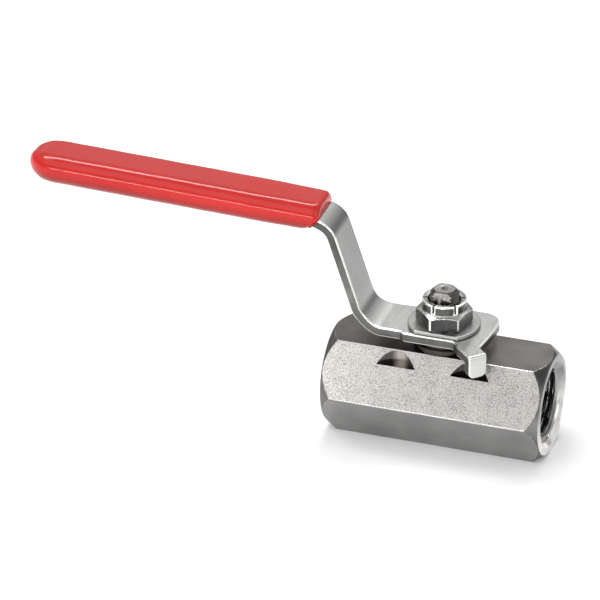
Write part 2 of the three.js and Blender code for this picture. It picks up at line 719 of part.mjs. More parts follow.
function stemLocknut() {
  const top = NUT_BOTTOM + NUT_HEX_HEIGHT;
  const corner = NUT_ACROSS_FLATS / Math.sqrt(3) + CORNER_MARGIN;
  const envelope = turnedOnStem([
    [0, NUT_BOTTOM],
    [corner - NUT_CHAMFER, NUT_BOTTOM],
    [corner, NUT_BOTTOM + NUT_CHAMFER / 2],
    [corner, top - NUT_CHAMFER],
    [NUT_CROWN_RADIUS + NUT_CROWN_STEP, top],
    [0, top],
  ]);
  const hex = standing(hexagon(NUT_ACROSS_FLATS, 0), NUT_BOTTOM, top).intersect(envelope);
  const crownTop = top + NUT_CROWN_HEIGHT;
  let nut = hex.add(rod(NUT_CROWN_RADIUS, top - NUT_CROWN_OVERLAP, crownTop));
  nut = nut.subtract(rod(STEM_CLEARANCE_RADIUS, NUT_BOTTOM - 1, crownTop + 1));
  const half = NUT_SLOT_WIDTH / 2;
  const reach = NUT_CROWN_RADIUS + 1;
  const slot = block(-reach, reach, -half, half, crownTop - NUT_SLOT_DEPTH, crownTop + 1);
  for (let i = 0; i < 3; i += 1) {
    nut = nut.subtract(slot.rotate([0, 0, i * 60]));
  }
  return nut.rotate([0, 0, NUT_TURN / DEGREE]);
}

// ---------------------------------------------------------------- the assembly

const STAINLESS = { color: 0x8c8a86, roughness: 0.35, metalness: 1.0 };
const BRIGHT_STAINLESS = { color: 0xb4b3af, roughness: 0.25, metalness: 1.0 };
const SPRING_STEEL = { color: 0x6f6e6b, roughness: 0.4, metalness: 1.0 };
const PTFE = { color: 0xe8e6df, roughness: 0.5, metalness: 0.0 };
const GRAPHITE_PTFE = { color: 0x3a3a3c, roughness: 0.6, metalness: 0.0 };
const RED_VINYL = { color: 0xd2322c, roughness: 0.25, metalness: 0.0 };

const valve = new THREE.Group();
valve.add(part('valve_body', valveBody(), STAINLESS));
valve.add(part('seat_retainer', seatRetainer(), STAINLESS));
valve.add(part('retainer_seal', retainerSeal(), PTFE));
valve.add(part('ball', ball(), BRIGHT_STAINLESS));
valve.add(part('seat_left', seat(-1), PTFE));
valve.add(part('seat_right', seat(1), PTFE));
valve.add(part('stem', stem(), BRIGHT_STAINLESS));
valve.add(part('thrust_washer', thrustWasher(), PTFE));
valve.add(part('packing_ring_lower', packingRing(0, 0, PACKING_RIDGE), GRAPHITE_PTFE));
valve.add(part('packing_ring_middle', packingRing(1, PACKING_RIDGE, PACKING_RIDGE), GRAPHITE_PTFE));
valve.add(part('packing_ring_upper', packingRing(2, PACKING_RIDGE, 0), GRAPHITE_PTFE));
valve.add(part('gland_follower', glandFollower(), STAINLESS));
valve.add(part('disc_spring_lower', discSpring(0), SPRING_STEEL));
valve.add(part('disc_spring_upper', discSpring(1), SPRING_STEEL));
valve.add(part('handle_lever', handleLever(), BRIGHT_STAINLESS));
valve.add(part('handle_grip', handleGrip(), RED_VINYL));
valve.add(part('nut_washer', nutWasher(), BRIGHT_STAINLESS));
valve.add(part('stem_locknut', stemLocknut(), BRIGHT_STAINLESS));

export default valve;
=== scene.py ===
"""Looks of a half-inch quarter-turn ball valve with a cranked lever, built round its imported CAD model."""

import math

import bmesh
import bpy
import numpy as np
from mathutils import Matrix, Vector


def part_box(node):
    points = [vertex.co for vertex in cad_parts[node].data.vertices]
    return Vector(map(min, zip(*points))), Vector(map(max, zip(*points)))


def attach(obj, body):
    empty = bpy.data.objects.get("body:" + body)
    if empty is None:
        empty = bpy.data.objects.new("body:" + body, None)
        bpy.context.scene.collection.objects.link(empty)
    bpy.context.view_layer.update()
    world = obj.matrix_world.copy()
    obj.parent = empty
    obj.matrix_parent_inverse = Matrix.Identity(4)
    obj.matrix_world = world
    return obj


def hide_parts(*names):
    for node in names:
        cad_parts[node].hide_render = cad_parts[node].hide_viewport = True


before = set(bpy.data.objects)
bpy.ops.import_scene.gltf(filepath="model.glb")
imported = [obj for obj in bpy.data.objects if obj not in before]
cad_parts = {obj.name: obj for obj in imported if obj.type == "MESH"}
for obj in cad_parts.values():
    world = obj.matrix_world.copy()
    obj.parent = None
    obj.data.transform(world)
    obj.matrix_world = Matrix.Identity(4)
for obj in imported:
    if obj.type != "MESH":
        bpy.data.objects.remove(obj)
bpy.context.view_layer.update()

MM = 0.001
TAU = 2 * math.pi


# ------------------------------------------------------------------ dimensions, in millimetres

def node_box(node):
    low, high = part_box(node)
    return [v / MM for v in low], [v / MM for v in high]


BODY_LOW, BODY_HIGH = node_box("valve_body")
WASHER_LOW, WASHER_HIGH = node_box("nut_washer")
NUT_LOW, NUT_HIGH = node_box("stem_locknut")
STEM_LOW, STEM_HIGH = node_box("stem")
GRIP_LOW, GRIP_HIGH = node_box("handle_grip")
LEVER_LOW, _ = node_box("handle_lever")
GLAND_LOW, GLAND_HIGH = node_box("gland_follower")

ACROSS_FLATS = BODY_HIGH[2] - BODY_LOW[2]
HALF_LENGTH = (BODY_HIGH[0] - BODY_LOW[0]) / 2
AXIS_Z = (BODY_HIGH[2] + BODY_LOW[2]) / 2
HEX_CORNER = ACROSS_FLATS / math.sqrt(3)
END_FACE_RADIUS = 13.25
END_CHAMFER = 3.2
BAR_EDGE = 0.45

COUNTERSINK_RADIUS = 11.5
SOCKET_DEPTH = 15.5
THREAD_PITCH = 25.4 / 14
THREAD_HEIGHT = 1.35
THREAD_CREST_RADIUS = 9.16
THREAD_ROOT_RADIUS = 10.1
PIPE_TAPER = 1 / 32
THREAD_FADE = 2.6
THREAD_RUNOUT = 0.6
THREAD_STEPS = 10
FLAT_SPACING = 0.4
CHAMFER_BLEND = 0.16
CHAMFER_STEP = 0.1
RIM_EDGE = 0.25

WATERWAY_RADIUS = 4.9
CAVITY_RADIUS = 8.15
RETAINER_THREAD_RADIUS = 8.6
SEAT_SPAN = 9.15
PACKING_BORE_RADIUS = 5.65
PACKING_FLOOR = 25.0
STEM_HOLE_RADIUS = 4.15
SHOULDER_RECESS_RADIUS = 5.3
RECESS_TOP = 23.6

NOTCH_X = 10.0
NOTCH_Y = -15.3
NOTCH_RADIUS = 7.4
NOTCH_FLOOR = 23.06

STRAP = 2.7
PLATE_TOP = WASHER_LOW[2] - 0.1
PLATE_BOTTOM = PLATE_TOP - STRAP
STRAP_EDGE = 0.4
HOLE_FIT = 0.125
BEND_RADIUS = 6.7
RISER_TILT = math.radians(71.3)
TAIL_TILT = math.radians(1.8)
RISER_LENGTH = 19.95
BEND_X = -14.9
PLATE_RIGHT = 13.4
PLATE_BACK = 9.55
PLATE_FRONT = -7.8
RISER_HALF = 5.95
NECK_HALF = 6.9
TAIL_HALF = 5.0
TAIL_LENGTH = 76.2
NECK_NARROW = 2.7
NECK_WIDE = 2.3
NECK_HANDLE = 2

TAB_AZIMUTH = math.radians(45)
TAB_HALF = 2.6
TAB_REACH = 16.0
TAB_INNER_RADIUS = 0.5
TAB_OUTER_RADIUS = 0.8
TAB_ZONE = 3.0
TAB_BOTTOM = LEVER_LOW[2]
TAB_CORNER = 1.7
TAB_NEAR_REACH = 11.9
TAB_FAR_REACH = 14.7
TAB_FILLET = (3.5, 5.4)
PLATE_WAIST = ((12.6, -6.0), (13.0, -2.5))
PLATE_CORNER = 4.8
PLATE_STEP_X = -9.3
PLATE_STEP_LENGTH = 1.4
FLARE_LENGTH = 7.1
FLARE_HANDLE = 3.0
BACK_TAPER = (3.0, -13.9)
BACK_TAPER_HANDLE = 6.5

GRIP_MOUTH_X = GRIP_HIGH[0]
GRIP_TIP_X = GRIP_LOW[0]
GRIP_HALF_WIDTH = (GRIP_HIGH[1] - GRIP_LOW[1]) / 2
GRIP_HALF_HEIGHT = 4.0
GRIP_EDGE = 3.6
GRIP_NOSE_LENGTH = 9.5
GRIP_NOSE_DEPTH = 5.5
GRIP_LIP = 1.5
MOUTH_HALF = 5.85
MOUTH_NARROWING = 0.3
MOUTH_THINNING = 0.15
POCKET_DEPTH = 9
POCKET_EDGE = 0.6
GRIP_FIT = 0.06
GRIP_SLANT = 3.6
GRIP_REFERENCE_X = -38.0
GRIP_REFERENCE_Z = 60.1

STEM_RADIUS = 3.95
STEM_HALF_FLATS = 2.65
STEM_TOP = STEM_HIGH[2]
STEM_CHAMFER = 1.2
STEM_PITCH = 25.4 / 24
STEM_THREAD_DEPTH = 0.55
STEM_THREAD_START = 32.0
STEM_FLATS_START = 28.6
# A narrow edge band at the top of the flats, which takes the dark copy as a painted shade line.
STEM_BROKEN_EDGE = 0.3
SHOULDER_RADIUS = 5.0
SHOULDER_SPAN = (21.7, 22.9)
TANG_HALF = (1.8, 3.6)
TANG_LENGTH = 3
STEM_DIMPLE_RADIUS = 0.75
STEM_DIMPLE_DEPTH = 0.6

NUT_ACROSS_FLATS = 13.1
NUT_HEX_HEIGHT = 4.0
NUT_CROWN_RADIUS = 5.9
NUT_CROWN_EDGE = 0.35
NUT_CHAMFER_FOOT = 6.4
NUT_CHAMFER_SLOPE = 2.0
NUT_CHAMFER_DEPTH = 0.8
NUT_BLEND = 0.25
# Width of the rounding beside each slot, and of the painted highlight that frames each crown segment.
NUT_FRAME = 0.6
# Width of the painted highlight along each hex corner.
NUT_CORNER_HIGHLIGHT = 0.3
NUT_SLOT_WIDTH = 0.5
NUT_SLOT_DEPTH = 2.2
NUT_TURN = math.radians(16)

WASHER_FLAT = -7.5
GLAND_FLANGE = 27.15
GLAND_SKIRT_RADIUS = 5.45


# ------------------------------------------------------------------ mesh helpers

def arc(cx, cy, radius, start, end, steps):
    """Points on a circle from one angle to another, in degrees, both ends included."""
    angles = np.radians(np.linspace(start, end, steps + 1))
    return [(cx + radius * math.cos(a), cy + radius * math.sin(a)) for a in angles]


def curve(p0, p1, p2, p3, steps):
    """Points on a cubic Bezier curve, the first one left out."""
    made = []
    for t in np.linspace(0, 1, steps + 1)[1:]:
        a, b, c, d = (1 - t) ** 3, 3 * t * (1 - t) ** 2, 3 * t * t * (1 - t), t ** 3
        made.append((a * p0[0] + b * p1[0] + c * p2[0] + d * p3[0],
                     a * p0[1] + b * p1[1] + c * p2[1] + d * p3[1]))
    return made


def rounded(corners, steps=5):
    """A closed outline from (x, y, corner radius) points, each corner replaced by an arc."""
    made = []
    count = len(corners)
    for i, (x, y, radius) in enumerate(corners):
        here = Vector((x, y))
        if radius <= 0:
            made.append((x, y))
            continue
        before = (Vector(corners[i - 1][:2]) - here).normalized()
        after = (Vector(corners[(i + 1) % count][:2]) - here).normalized()
        half = before.angle(after) / 2
        reach = radius / math.tan(half)
        centre = here + (before + after).normalized() * (radius / math.sin(half))
        first = here + before * reach - centre
        last = here + after * reach - centre
        turn = first.angle_signed(last)
        for k in range(steps + 1):
            spin = Matrix.Rotation(-turn * k / steps, 2)
            point = centre + spin @ first
            made.append((point.x, point.y))
    return made


def new_object(name, points, faces):
    """A mesh object from points in millimetres."""
    mesh = bpy.data.meshes.new(name)
    mesh.from_pydata([tuple(v * MM for v in p) for p in points], [], faces)
    mesh.validate()
    piece = bpy.data.objects.new(name, mesh)
    bpy.context.scene.collection.objects.link(piece)
    outward(piece)
    return piece


def outward(piece):
    edit = bmesh.new()
    edit.from_mesh(piece.data)
    bmesh.ops.recalc_face_normals(edit, faces=edit.faces)
    edit.to_mesh(piece.data)
    edit.free()


def lofted(name, rings, closed=False):
    """Rings with equal point counts, joined into a solid: capped at both ends, or closed on itself."""
    count = len(rings[0])
    points = [p for ring in rings for p in ring]
    faces = []
    last = len(rings) if closed else len(rings) - 1
    for r in range(last):
        a, b = r * count, ((r + 1) % len(rings)) * count
        for i in range(count):
            j = (i + 1) % count
            faces.append((a + i, a + j, b + j, b + i))
    if not closed:
        faces.append(tuple(range(count)))
        faces.append(tuple(range((len(rings) - 1) * count, len(rings) * count)))
    return new_object(name, points, faces)


def turned(name, profile, sides=96, along="z", centre=(0, 0)):
    """A closed (radius, height) profile turned about Z, or about the bore axis for along="x"."""
    rings = []
    for i in range(sides):
        a = TAU * i / sides
        if along == "z":
            rings.append([(centre[0] + r * math.cos(a), centre[1] + r * math.sin(a), h) for r, h in profile])
        else:
            rings.append([(h, r * math.cos(a), AXIS_Z + r * math.sin(a)) for r, h in profile])
    return lofted(name, rings, closed=True)


def prism(name, outline, bottom, top):
    return lofted(name, [[(x, y, z) for x, y in outline] for z in (bottom, top)])


def apply_modifiers(piece):
    bpy.context.view_layer.update()
    graph = bpy.context.evaluated_depsgraph_get()
    mesh = bpy.data.meshes.new_from_object(piece.evaluated_get(graph))
    piece.modifiers.clear()
    old = piece.data
    piece.data = mesh
    bpy.data.meshes.remove(old)


def combine(piece, tool, operation):
    """Boolean of piece with tool; the tool is used up."""
    step = piece.modifiers.new("cut", "BOOLEAN")
    step.operation = operation
    step.solver = "EXACT"
    step.object = tool
    apply_modifiers(piece)
    bpy.data.objects.remove(tool)
    return piece


def smooth(piece, angle=32):
    """Smooth shading with sharp creases, and normals that follow the large faces."""
    for face in piece.data.polygons:
        face.use_smooth = True
    piece.data.set_sharp_from_angle(angle=math.radians(angle))
    step = piece.modifiers.new("normals", "WEIGHTED_NORMAL")
    step.keep_sharp = True
    step.weight = 80
    return piece


def stands_for(piece, node, body):
    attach(piece, body)
    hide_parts(node)
    return piece


# ------------------------------------------------------------------ materials

def material(name):
    made = bpy.data.materials.new(name)
    made.use_nodes = True
    return made, made.node_tree, made.node_tree.nodes["Principled BSDF"]


def link(tree, a, b):
    tree.links.new(a, b)


def coordinates(tree, scale=(1, 1, 1)):
    place = tree.nodes.new("ShaderNodeTexCoord")
    mapping = tree.nodes.new("ShaderNodeMapping")
    mapping.inputs["Scale"].default_value = scale
    link(tree, place.outputs["Object"], mapping.inputs["Vector"])
    return mapping.outputs["Vector"]


def noise(tree, vector, scale, detail=4.0, roughness=0.55):
    node = tree.nodes.new("ShaderNodeTexNoise")
    node.inputs["Scale"].default_value = scale
    node.inputs["Detail"].default_value = detail
    node.inputs["Roughness"].default_value = roughness
    link(tree, vector, node.inputs["Vector"])
    return node.outputs["Fac"]


def ramp(tree, value, stops):
    node = tree.nodes.new("ShaderNodeValToRGB")
    while len(node.color_ramp.elements) < len(stops):
        node.color_ramp.elements.new(0.5)
    for element, (position, colour) in zip(node.color_ramp.elements, stops):
        element.position = position
        element.color = (*colour, 1)
    link(tree, value, node.inputs["Fac"])
    return node.outputs["Color"]


def remap(tree, value, low, high):
    node = tree.nodes.new("ShaderNodeMapRange")
    node.inputs["To Min"].default_value = low
    node.inputs["To Max"].default_value = high
    link(tree, value, node.inputs["Value"])
    return node.outputs["Result"]


def bump(tree, shader, height, strength, distance, under=None):
    node = tree.nodes.new("ShaderNodeBump")
    node.inputs["Strength"].default_value = strength
    node.inputs["Distance"].default_value = distance
    link(tree, height, node.inputs["Height"])
    if under is not None:
        link(tree, under, node.inputs["Normal"])
    link(tree, node.outputs["Normal"], shader.inputs["Normal"])
    return node.outputs["Normal"]


def place_along(tree, direction):
    """Distance in millimetres along a direction, in the piece's own coordinates."""
    dot = tree.nodes.new("ShaderNodeVectorMath")
    dot.operation = "DOT_PRODUCT"
    dot.inputs[1].default_value = [v / MM for v in direction]
    link(tree, tree.nodes.new("ShaderNodeTexCoord").outputs["Object"], dot.inputs[0])
    return dot.outputs["Value"]


def scaled(tree, colour, factor):
    node = tree.nodes.new("ShaderNodeVectorMath")
    node.operation = "SCALE"
    link(tree, colour, node.inputs[0])
    link(tree, factor, node.inputs["Scale"])
    return node.outputs["Vector"]


def faded(tree, colour, fade):
    """The colour times a factor that changes along a direction; fade is (direction, [(mm, factor)])."""
    if fade is None:
        return colour
    direction, stops = fade
    low, high = stops[0][0], stops[-1][0]
    spread = tree.nodes.new("ShaderNodeMapRange")
    spread.inputs["From Min"].default_value = low
    spread.inputs["From Max"].default_value = high
    link(tree, place_along(tree, direction), spread.inputs["Value"])
    greys = [((place - low) / (high - low), (factor / 2,) * 3) for place, factor in stops]
    double = tree.nodes.new("ShaderNodeMath")
    double.operation = "MULTIPLY"
    double.inputs[1].default_value = 2.0
    link(tree, ramp(tree, spread.outputs["Result"], greys), double.inputs[0])
    return scaled(tree, colour, double.outputs[0])


def steel(name, dark, light, rough, grain=(1, 1, 1), grain_scale=900, relief=0.1, patch_scale=90, fade=None):
    """Metal whose colour and roughness drift slowly, with a grain stretched by the grain vector."""
    made, tree, shader = material(name)
    shader.inputs["Metallic"].default_value = 1.0
    fine = noise(tree, coordinates(tree, grain), grain_scale, 6.0, 0.62)
    patches = noise(tree, coordinates(tree), patch_scale, 3.0)
    mix = tree.nodes.new("ShaderNodeMath")
    mix.operation = "ADD"
    link(tree, remap(tree, fine, -0.3, 0.3), mix.inputs[0])
    link(tree, patches, mix.inputs[1])
    colour = ramp(tree, mix.outputs[0], [(0.25, dark), (0.75, light)])
    link(tree, faded(tree, colour, fade), shader.inputs["Base Color"])
    link(tree, remap(tree, fine, rough * 0.8, rough * 1.25), shader.inputs["Roughness"])
    bump(tree, shader, fine, relief, 0.00004)
    return made


def blasted(name, pit, light, rough, fade):
    """Bead-blasted metal: small dark pits on light ground, in colour, roughness and relief."""
    made, tree, shader = material(name)
    shader.inputs["Metallic"].default_value = 0.7
    place = coordinates(tree)
    speck = noise(tree, place, 3300, 2.0, 0.6)
    blotch = noise(tree, place, 260, 2.0, 0.5)
    mix = tree.nodes.new("ShaderNodeMath")
    mix.operation = "MULTIPLY_ADD"
    mix.inputs[1].default_value = 0.16
    link(tree, blotch, mix.inputs[0])
    link(tree, remap(tree, speck, -0.08, 0.92), mix.inputs[2])
    colour = ramp(tree, mix.outputs[0], [(0.30, pit), (0.58, light)])
    link(tree, faded(tree, colour, fade), shader.inputs["Base Color"])
    link(tree, remap(tree, speck, rough * 0.8, rough * 1.2), shader.inputs["Roughness"])
    bump(tree, shader, speck, 0.5, 0.00008)
    return made


def polymer(name, dark, light, rough, scale=300):
    made, tree, shader = material(name)
    cloud = noise(tree, coordinates(tree), scale, 4.0)
    link(tree, ramp(tree, cloud, [(0.3, dark), (0.7, light)]), shader.inputs["Base Color"])
    link(tree, remap(tree, cloud, rough * 0.85, rough * 1.15), shader.inputs["Roughness"])
    bump(tree, shader, cloud, 0.1, 0.00004)
    return made


def dipped_vinyl(name):
    """Glossy red vinyl: slow ripples, a faint orange-peel skin, a darker red underneath as painted shade, and
    a brighter band along the front as a painted highlight.
    """
    made, tree, shader = material(name)
    shader.inputs["Metallic"].default_value = 0.0
    shader.inputs["Specular IOR Level"].default_value = 0.18
    shader.inputs["Coat Weight"].default_value = 0.45
    shader.inputs["Coat Roughness"].default_value = 0.1
    shade = noise(tree, coordinates(tree, (0.35, 1, 1)), 70, 2.0)
    colour = ramp(tree, shade, [(0.3, (0.36, 0.006, 0.004)), (0.7, (0.42, 0.010, 0.007))])
    # Painted shade and highlight: darker red along the bottom of the grip, a brighter band just above the
    # middle of its front.
    across_grip = (math.tan(TAIL_TILT), 0, 1)
    low = GRIP_REFERENCE_Z + GRIP_REFERENCE_X * math.tan(TAIL_TILT) - GRIP_HALF_HEIGHT
    fade = (across_grip, [(low, 0.48), (low + 2.2, 0.75), (low + 4.4, 1.35), (low + 5.8, 1.25),
                          (low + 7.6, 1.0)])
    link(tree, faded(tree, colour, fade), shader.inputs["Base Color"])
    ripple = noise(tree, coordinates(tree, (0.45, 1, 1)), 95, 1.5, 0.4)
    peel = noise(tree, coordinates(tree), 1400, 2.0)
    under = bump(tree, shader, ripple, 0.5, 0.0011)
    bump(tree, shader, peel, 0.05, 0.00005, under)
    link(tree, remap(tree, peel, 0.16, 0.24), shader.inputs["Roughness"])
    return made


LENGTHWISE = (0.05, 1, 1)
TURNED = (1, 0.3, 0.3)
EVENLY = (1, 1, 1)
TO_RIGHT = (1, 0, 0)
UPWARDS = (0, 0, 1)
# The fades below paint light and shade into the colours. Painted shade: the top flat darker towards its left
# end.
TOP_PAINTED_SHADE = (TO_RIGHT, [(-28, 0.72), (0, 0.82), (26, 0.9)])
# Painted light: the blasted front flat lighter towards its left end.
FRONT_PAINTED_LIGHT = (TO_RIGHT, [(-28, 1.3), (-8, 1.0), (28, 0.92)])
# Painted light and shade on the lever's faces: lightest on the tab and plate, darker up the riser and the
# upper bend, a little lighter where the tail enters the grip.
STRIP_PAINTED_LIGHT = (UPWARDS, [(29, 1.15), (32.2, 0.98), (35.5, 0.60), (40, 0.51), (50, 0.48),
                        (58, 0.50), (61, 0.75)])
# Painted shade: the lever's sheared sides, already a darker copy of the strip steel, darker still low on the
# tab and round the upper bend, lighter along the riser.
SHEARED_PAINTED_SHADE = (UPWARDS, [(26, 0.5), (30, 0.62), (38, 1.05), (50, 0.65), (60, 0.5)])
# Painted light and shade on the end cones, changing along x + z: the left cone lighter, the right cone in
# light and dark bands, darkest at its top.
CONE_PAINTED_LIGHT = ((1, 0, 1), [(-60, 1.0), (30, 0.5), (36, 0.5), (44, 1.0), (49, 0.6), (54, 0.3)])
# Painted light: the turned rims and socket mouths lighter low down, darker towards the top.
RIM_PAINTED_LIGHT = (UPWARDS, [(0, 1.75), (8, 1.65), (13, 0.9), (18, 0.45), (27, 0.35)])
# Painted shade: the nut's hex faces darker on the front side, towards -y.
NUT_FRONT_PAINTED_SHADE = ((0, 1, 0), [(-7, 0.45), (-5.4, 0.6), (-3.8, 1.9), (0, 1.9), (7, 1.2)])
# Painted reflection and shade on the notches: a bright band on the left notch's wall near x = -9, dark
# elsewhere, darkest over the right notch by the lever's tab.
NOTCH_PAINTED_LIGHT = (TO_RIGHT, [(-16, 0.4), (-11.5, 0.5), (-9.9, 1.9), (-8.3, 1.9), (-6.8, 0.5), (-3, 0.3),
                         (3, 0.28), (16, 0.28)])

TOP_STEEL = steel("top_flat_brushed", (0.125, 0.112, 0.105), (0.215, 0.20, 0.19), 0.34, LENGTHWISE, 2300, 0.3,
                  90, TOP_PAINTED_SHADE)
SIDE_STEEL = steel("side_flats_satin", (0.25, 0.248, 0.245), (0.36, 0.357, 0.353), 0.36, LENGTHWISE, 2200,
                   0.18)
FRONT_STEEL = blasted("front_flat_blasted", (0.16, 0.15, 0.137), (0.505, 0.49, 0.47), 0.50, FRONT_PAINTED_LIGHT)
CONE_STEEL = steel("end_cones", (0.17, 0.168, 0.165), (0.27, 0.267, 0.262), 0.28, TURNED, 1600, 0.15, 90,
                   CONE_PAINTED_LIGHT)
END_STEEL = steel("turned_rims", (0.40, 0.39, 0.38), (0.62, 0.61, 0.60), 0.24, TURNED, 1600, 0.15, 160,
                  RIM_PAINTED_LIGHT)
# Painted highlight: a lighter copy of the body steel on the rounded corners between the flats.
BAR_HIGHLIGHT_STEEL = steel("bar_edges_painted_highlight", (0.50, 0.49, 0.47), (0.72, 0.71, 0.69), 0.24, LENGTHWISE, 1500, 0.1)
BORE_STEEL = steel("socket_threads", (0.13, 0.128, 0.125), (0.36, 0.355, 0.35), 0.22, TURNED, 1800, 0.12, 200)
NOTCH_STEEL = steel("milled_notches_painted_light", (0.12, 0.11, 0.10), (0.26, 0.243, 0.225), 0.20, (1, 1, 0.1), 1500, 0.2,
                    90, NOTCH_PAINTED_LIGHT)
LEVER_STEEL = steel("lever_strip", (0.45, 0.455, 0.443), (0.565, 0.57, 0.557), 0.26, (1, 0.15, 1), 1000, 0.12,
                    60, STRIP_PAINTED_LIGHT)
SHEARED_STEEL = steel("lever_sheared_sides", (0.136, 0.136, 0.132), (0.22, 0.22, 0.213), 0.30, (0.3, 1, 1),
                      900, 0.2, 160, SHEARED_PAINTED_SHADE)
# Painted highlight: a near-white copy of the lever steel on its rounded edges.
LEVER_HIGHLIGHT_STEEL = steel("lever_edges_painted_highlight", (0.62, 0.62, 0.60), (0.90, 0.90, 0.88), 0.20, EVENLY, 700, 0.1, 60)
NUT_FACE_STEEL = steel("nut_faces", (0.075, 0.077, 0.075), (0.165, 0.165, 0.161), 0.26, EVENLY, 900, 0.12,
                       130, NUT_FRONT_PAINTED_SHADE)
# Painted shade: the crown segments in a dark copy of the nut steel, inside their painted highlight frames.
NUT_CROWN_SHADE_STEEL = steel("nut_crown_painted_shade", (0.055, 0.055, 0.053), (0.12, 0.12, 0.117), 0.24, EVENLY, 900, 0.12, 130)
# Painted light: a lighter copy of the nut steel on the chamfers.
NUT_CHAMFER_STEEL = steel("nut_chamfer", (0.26, 0.26, 0.25), (0.46, 0.46, 0.45), 0.24, EVENLY, 900, 0.12, 130)
# Painted highlight: a near-white copy of the nut steel on corners, rims and the frames round the crown
# segments.
NUT_HIGHLIGHT_STEEL = steel("nut_edges_painted_highlight", (0.74, 0.74, 0.72), (0.95, 0.95, 0.93), 0.18, EVENLY, 900, 0.08, 130)
WASHER_STEEL = steel("washer_face", (0.26, 0.263, 0.255), (0.38, 0.383, 0.374), 0.40, EVENLY, 1000, 0.15)
STEM_STEEL = steel("stem_steel", (0.29, 0.28, 0.268), (0.42, 0.406, 0.39), 0.26, EVENLY, 1100, 0.1, 120)
# Painted shade: a dark copy of the stem steel on the thread, the top chamfer, the broken edges and the
# centre-drill mark.
STEM_THREAD_SHADE_STEEL = steel("stem_thread_painted_shade", (0.07, 0.067, 0.063), (0.15, 0.144, 0.137), 0.3, EVENLY, 1100, 0.1,
                          160)
GLAND_STEEL = steel("gland_steel", (0.045, 0.037, 0.033), (0.09, 0.078, 0.07), 0.36, EVENLY, 1000, 0.1)
BALL_STEEL = steel("ball_polished", (0.60, 0.60, 0.59), (0.72, 0.72, 0.71), 0.10, EVENLY, 500, 0.03)
INSERT_STEEL = steel("insert_turned", (0.26, 0.255, 0.25), (0.40, 0.395, 0.39), 0.28, TURNED, 1700, 0.12)
SPRING_STEEL = steel("spring_steel", (0.18, 0.18, 0.175), (0.30, 0.30, 0.29), 0.35)
SEAT_POLYMER = polymer("seat_polymer", (0.78, 0.76, 0.70), (0.86, 0.84, 0.78), 0.45)
PACKING_POLYMER = polymer("packing_polymer", (0.05, 0.05, 0.052), (0.09, 0.09, 0.095), 0.55)
GRIP_VINYL = dipped_vinyl("grip_vinyl_red")

BODY_STEELS = [TOP_STEEL, SIDE_STEEL, FRONT_STEEL, END_STEEL, BAR_HIGHLIGHT_STEEL, BORE_STEEL, NOTCH_STEEL, CONE_STEEL]
NUT_STEELS = [NUT_FACE_STEEL, NUT_HIGHLIGHT_STEEL, NUT_CHAMFER_STEEL, NUT_CROWN_SHADE_STEEL]


# ------------------------------------------------------------------ body

def thread_radius(depth, turn):
    """Radius of the tapered pipe thread at a depth into the socket; turn is 0 to 1 round the bore."""
    base = THREAD_CREST_RADIUS - depth * PIPE_TAPER
    fade = min(1.0, max(0.0, (SOCKET_DEPTH - THREAD_RUNOUT - depth) / THREAD_FADE))
    phase = (depth / THREAD_PITCH + turn) % 1.0
    ridge = min(1.0, max(0.0, (1 - abs(2 * phase - 1)) * 1.25 - 0.12))
    return max(base + THREAD_HEIGHT * ridge * fade, COUNTERSINK_RADIUS - depth)


def cylinder(name, radius, low, high, sides=96, centre=(0, 0)):
    return prism(name, [(centre[0] + radius * math.cos(TAU * i / sides),
                         centre[1] + radius * math.sin(TAU * i / sides)) for i in range(sides)], low, high)


def bar_outline():
    """The hexagon with rounded corners as (y, z) about the bore axis, with many points on each flat."""
    corners = []
    for i in range(6):
        a = TAU * i / 6
        corners.append((HEX_CORNER * math.cos(a), HEX_CORNER * math.sin(a), BAR_EDGE))
    sparse = rounded(corners, 6)
    outline = []
    for i, point in enumerate(sparse):
        after = sparse[(i + 1) % len(sparse)]
        parts = max(1, round(math.dist(point, after) / FLAT_SPACING))
        for k in range(parts):
            t = k / parts
            outline.append((point[0] + (after[0] - point[0]) * t, point[1] + (after[1] - point[1]) * t))
    return outline


def soft_min(a, b, blend):
    h = max(blend - abs(a - b), 0.0) / blend
    return min(a, b) - h * h * blend / 4


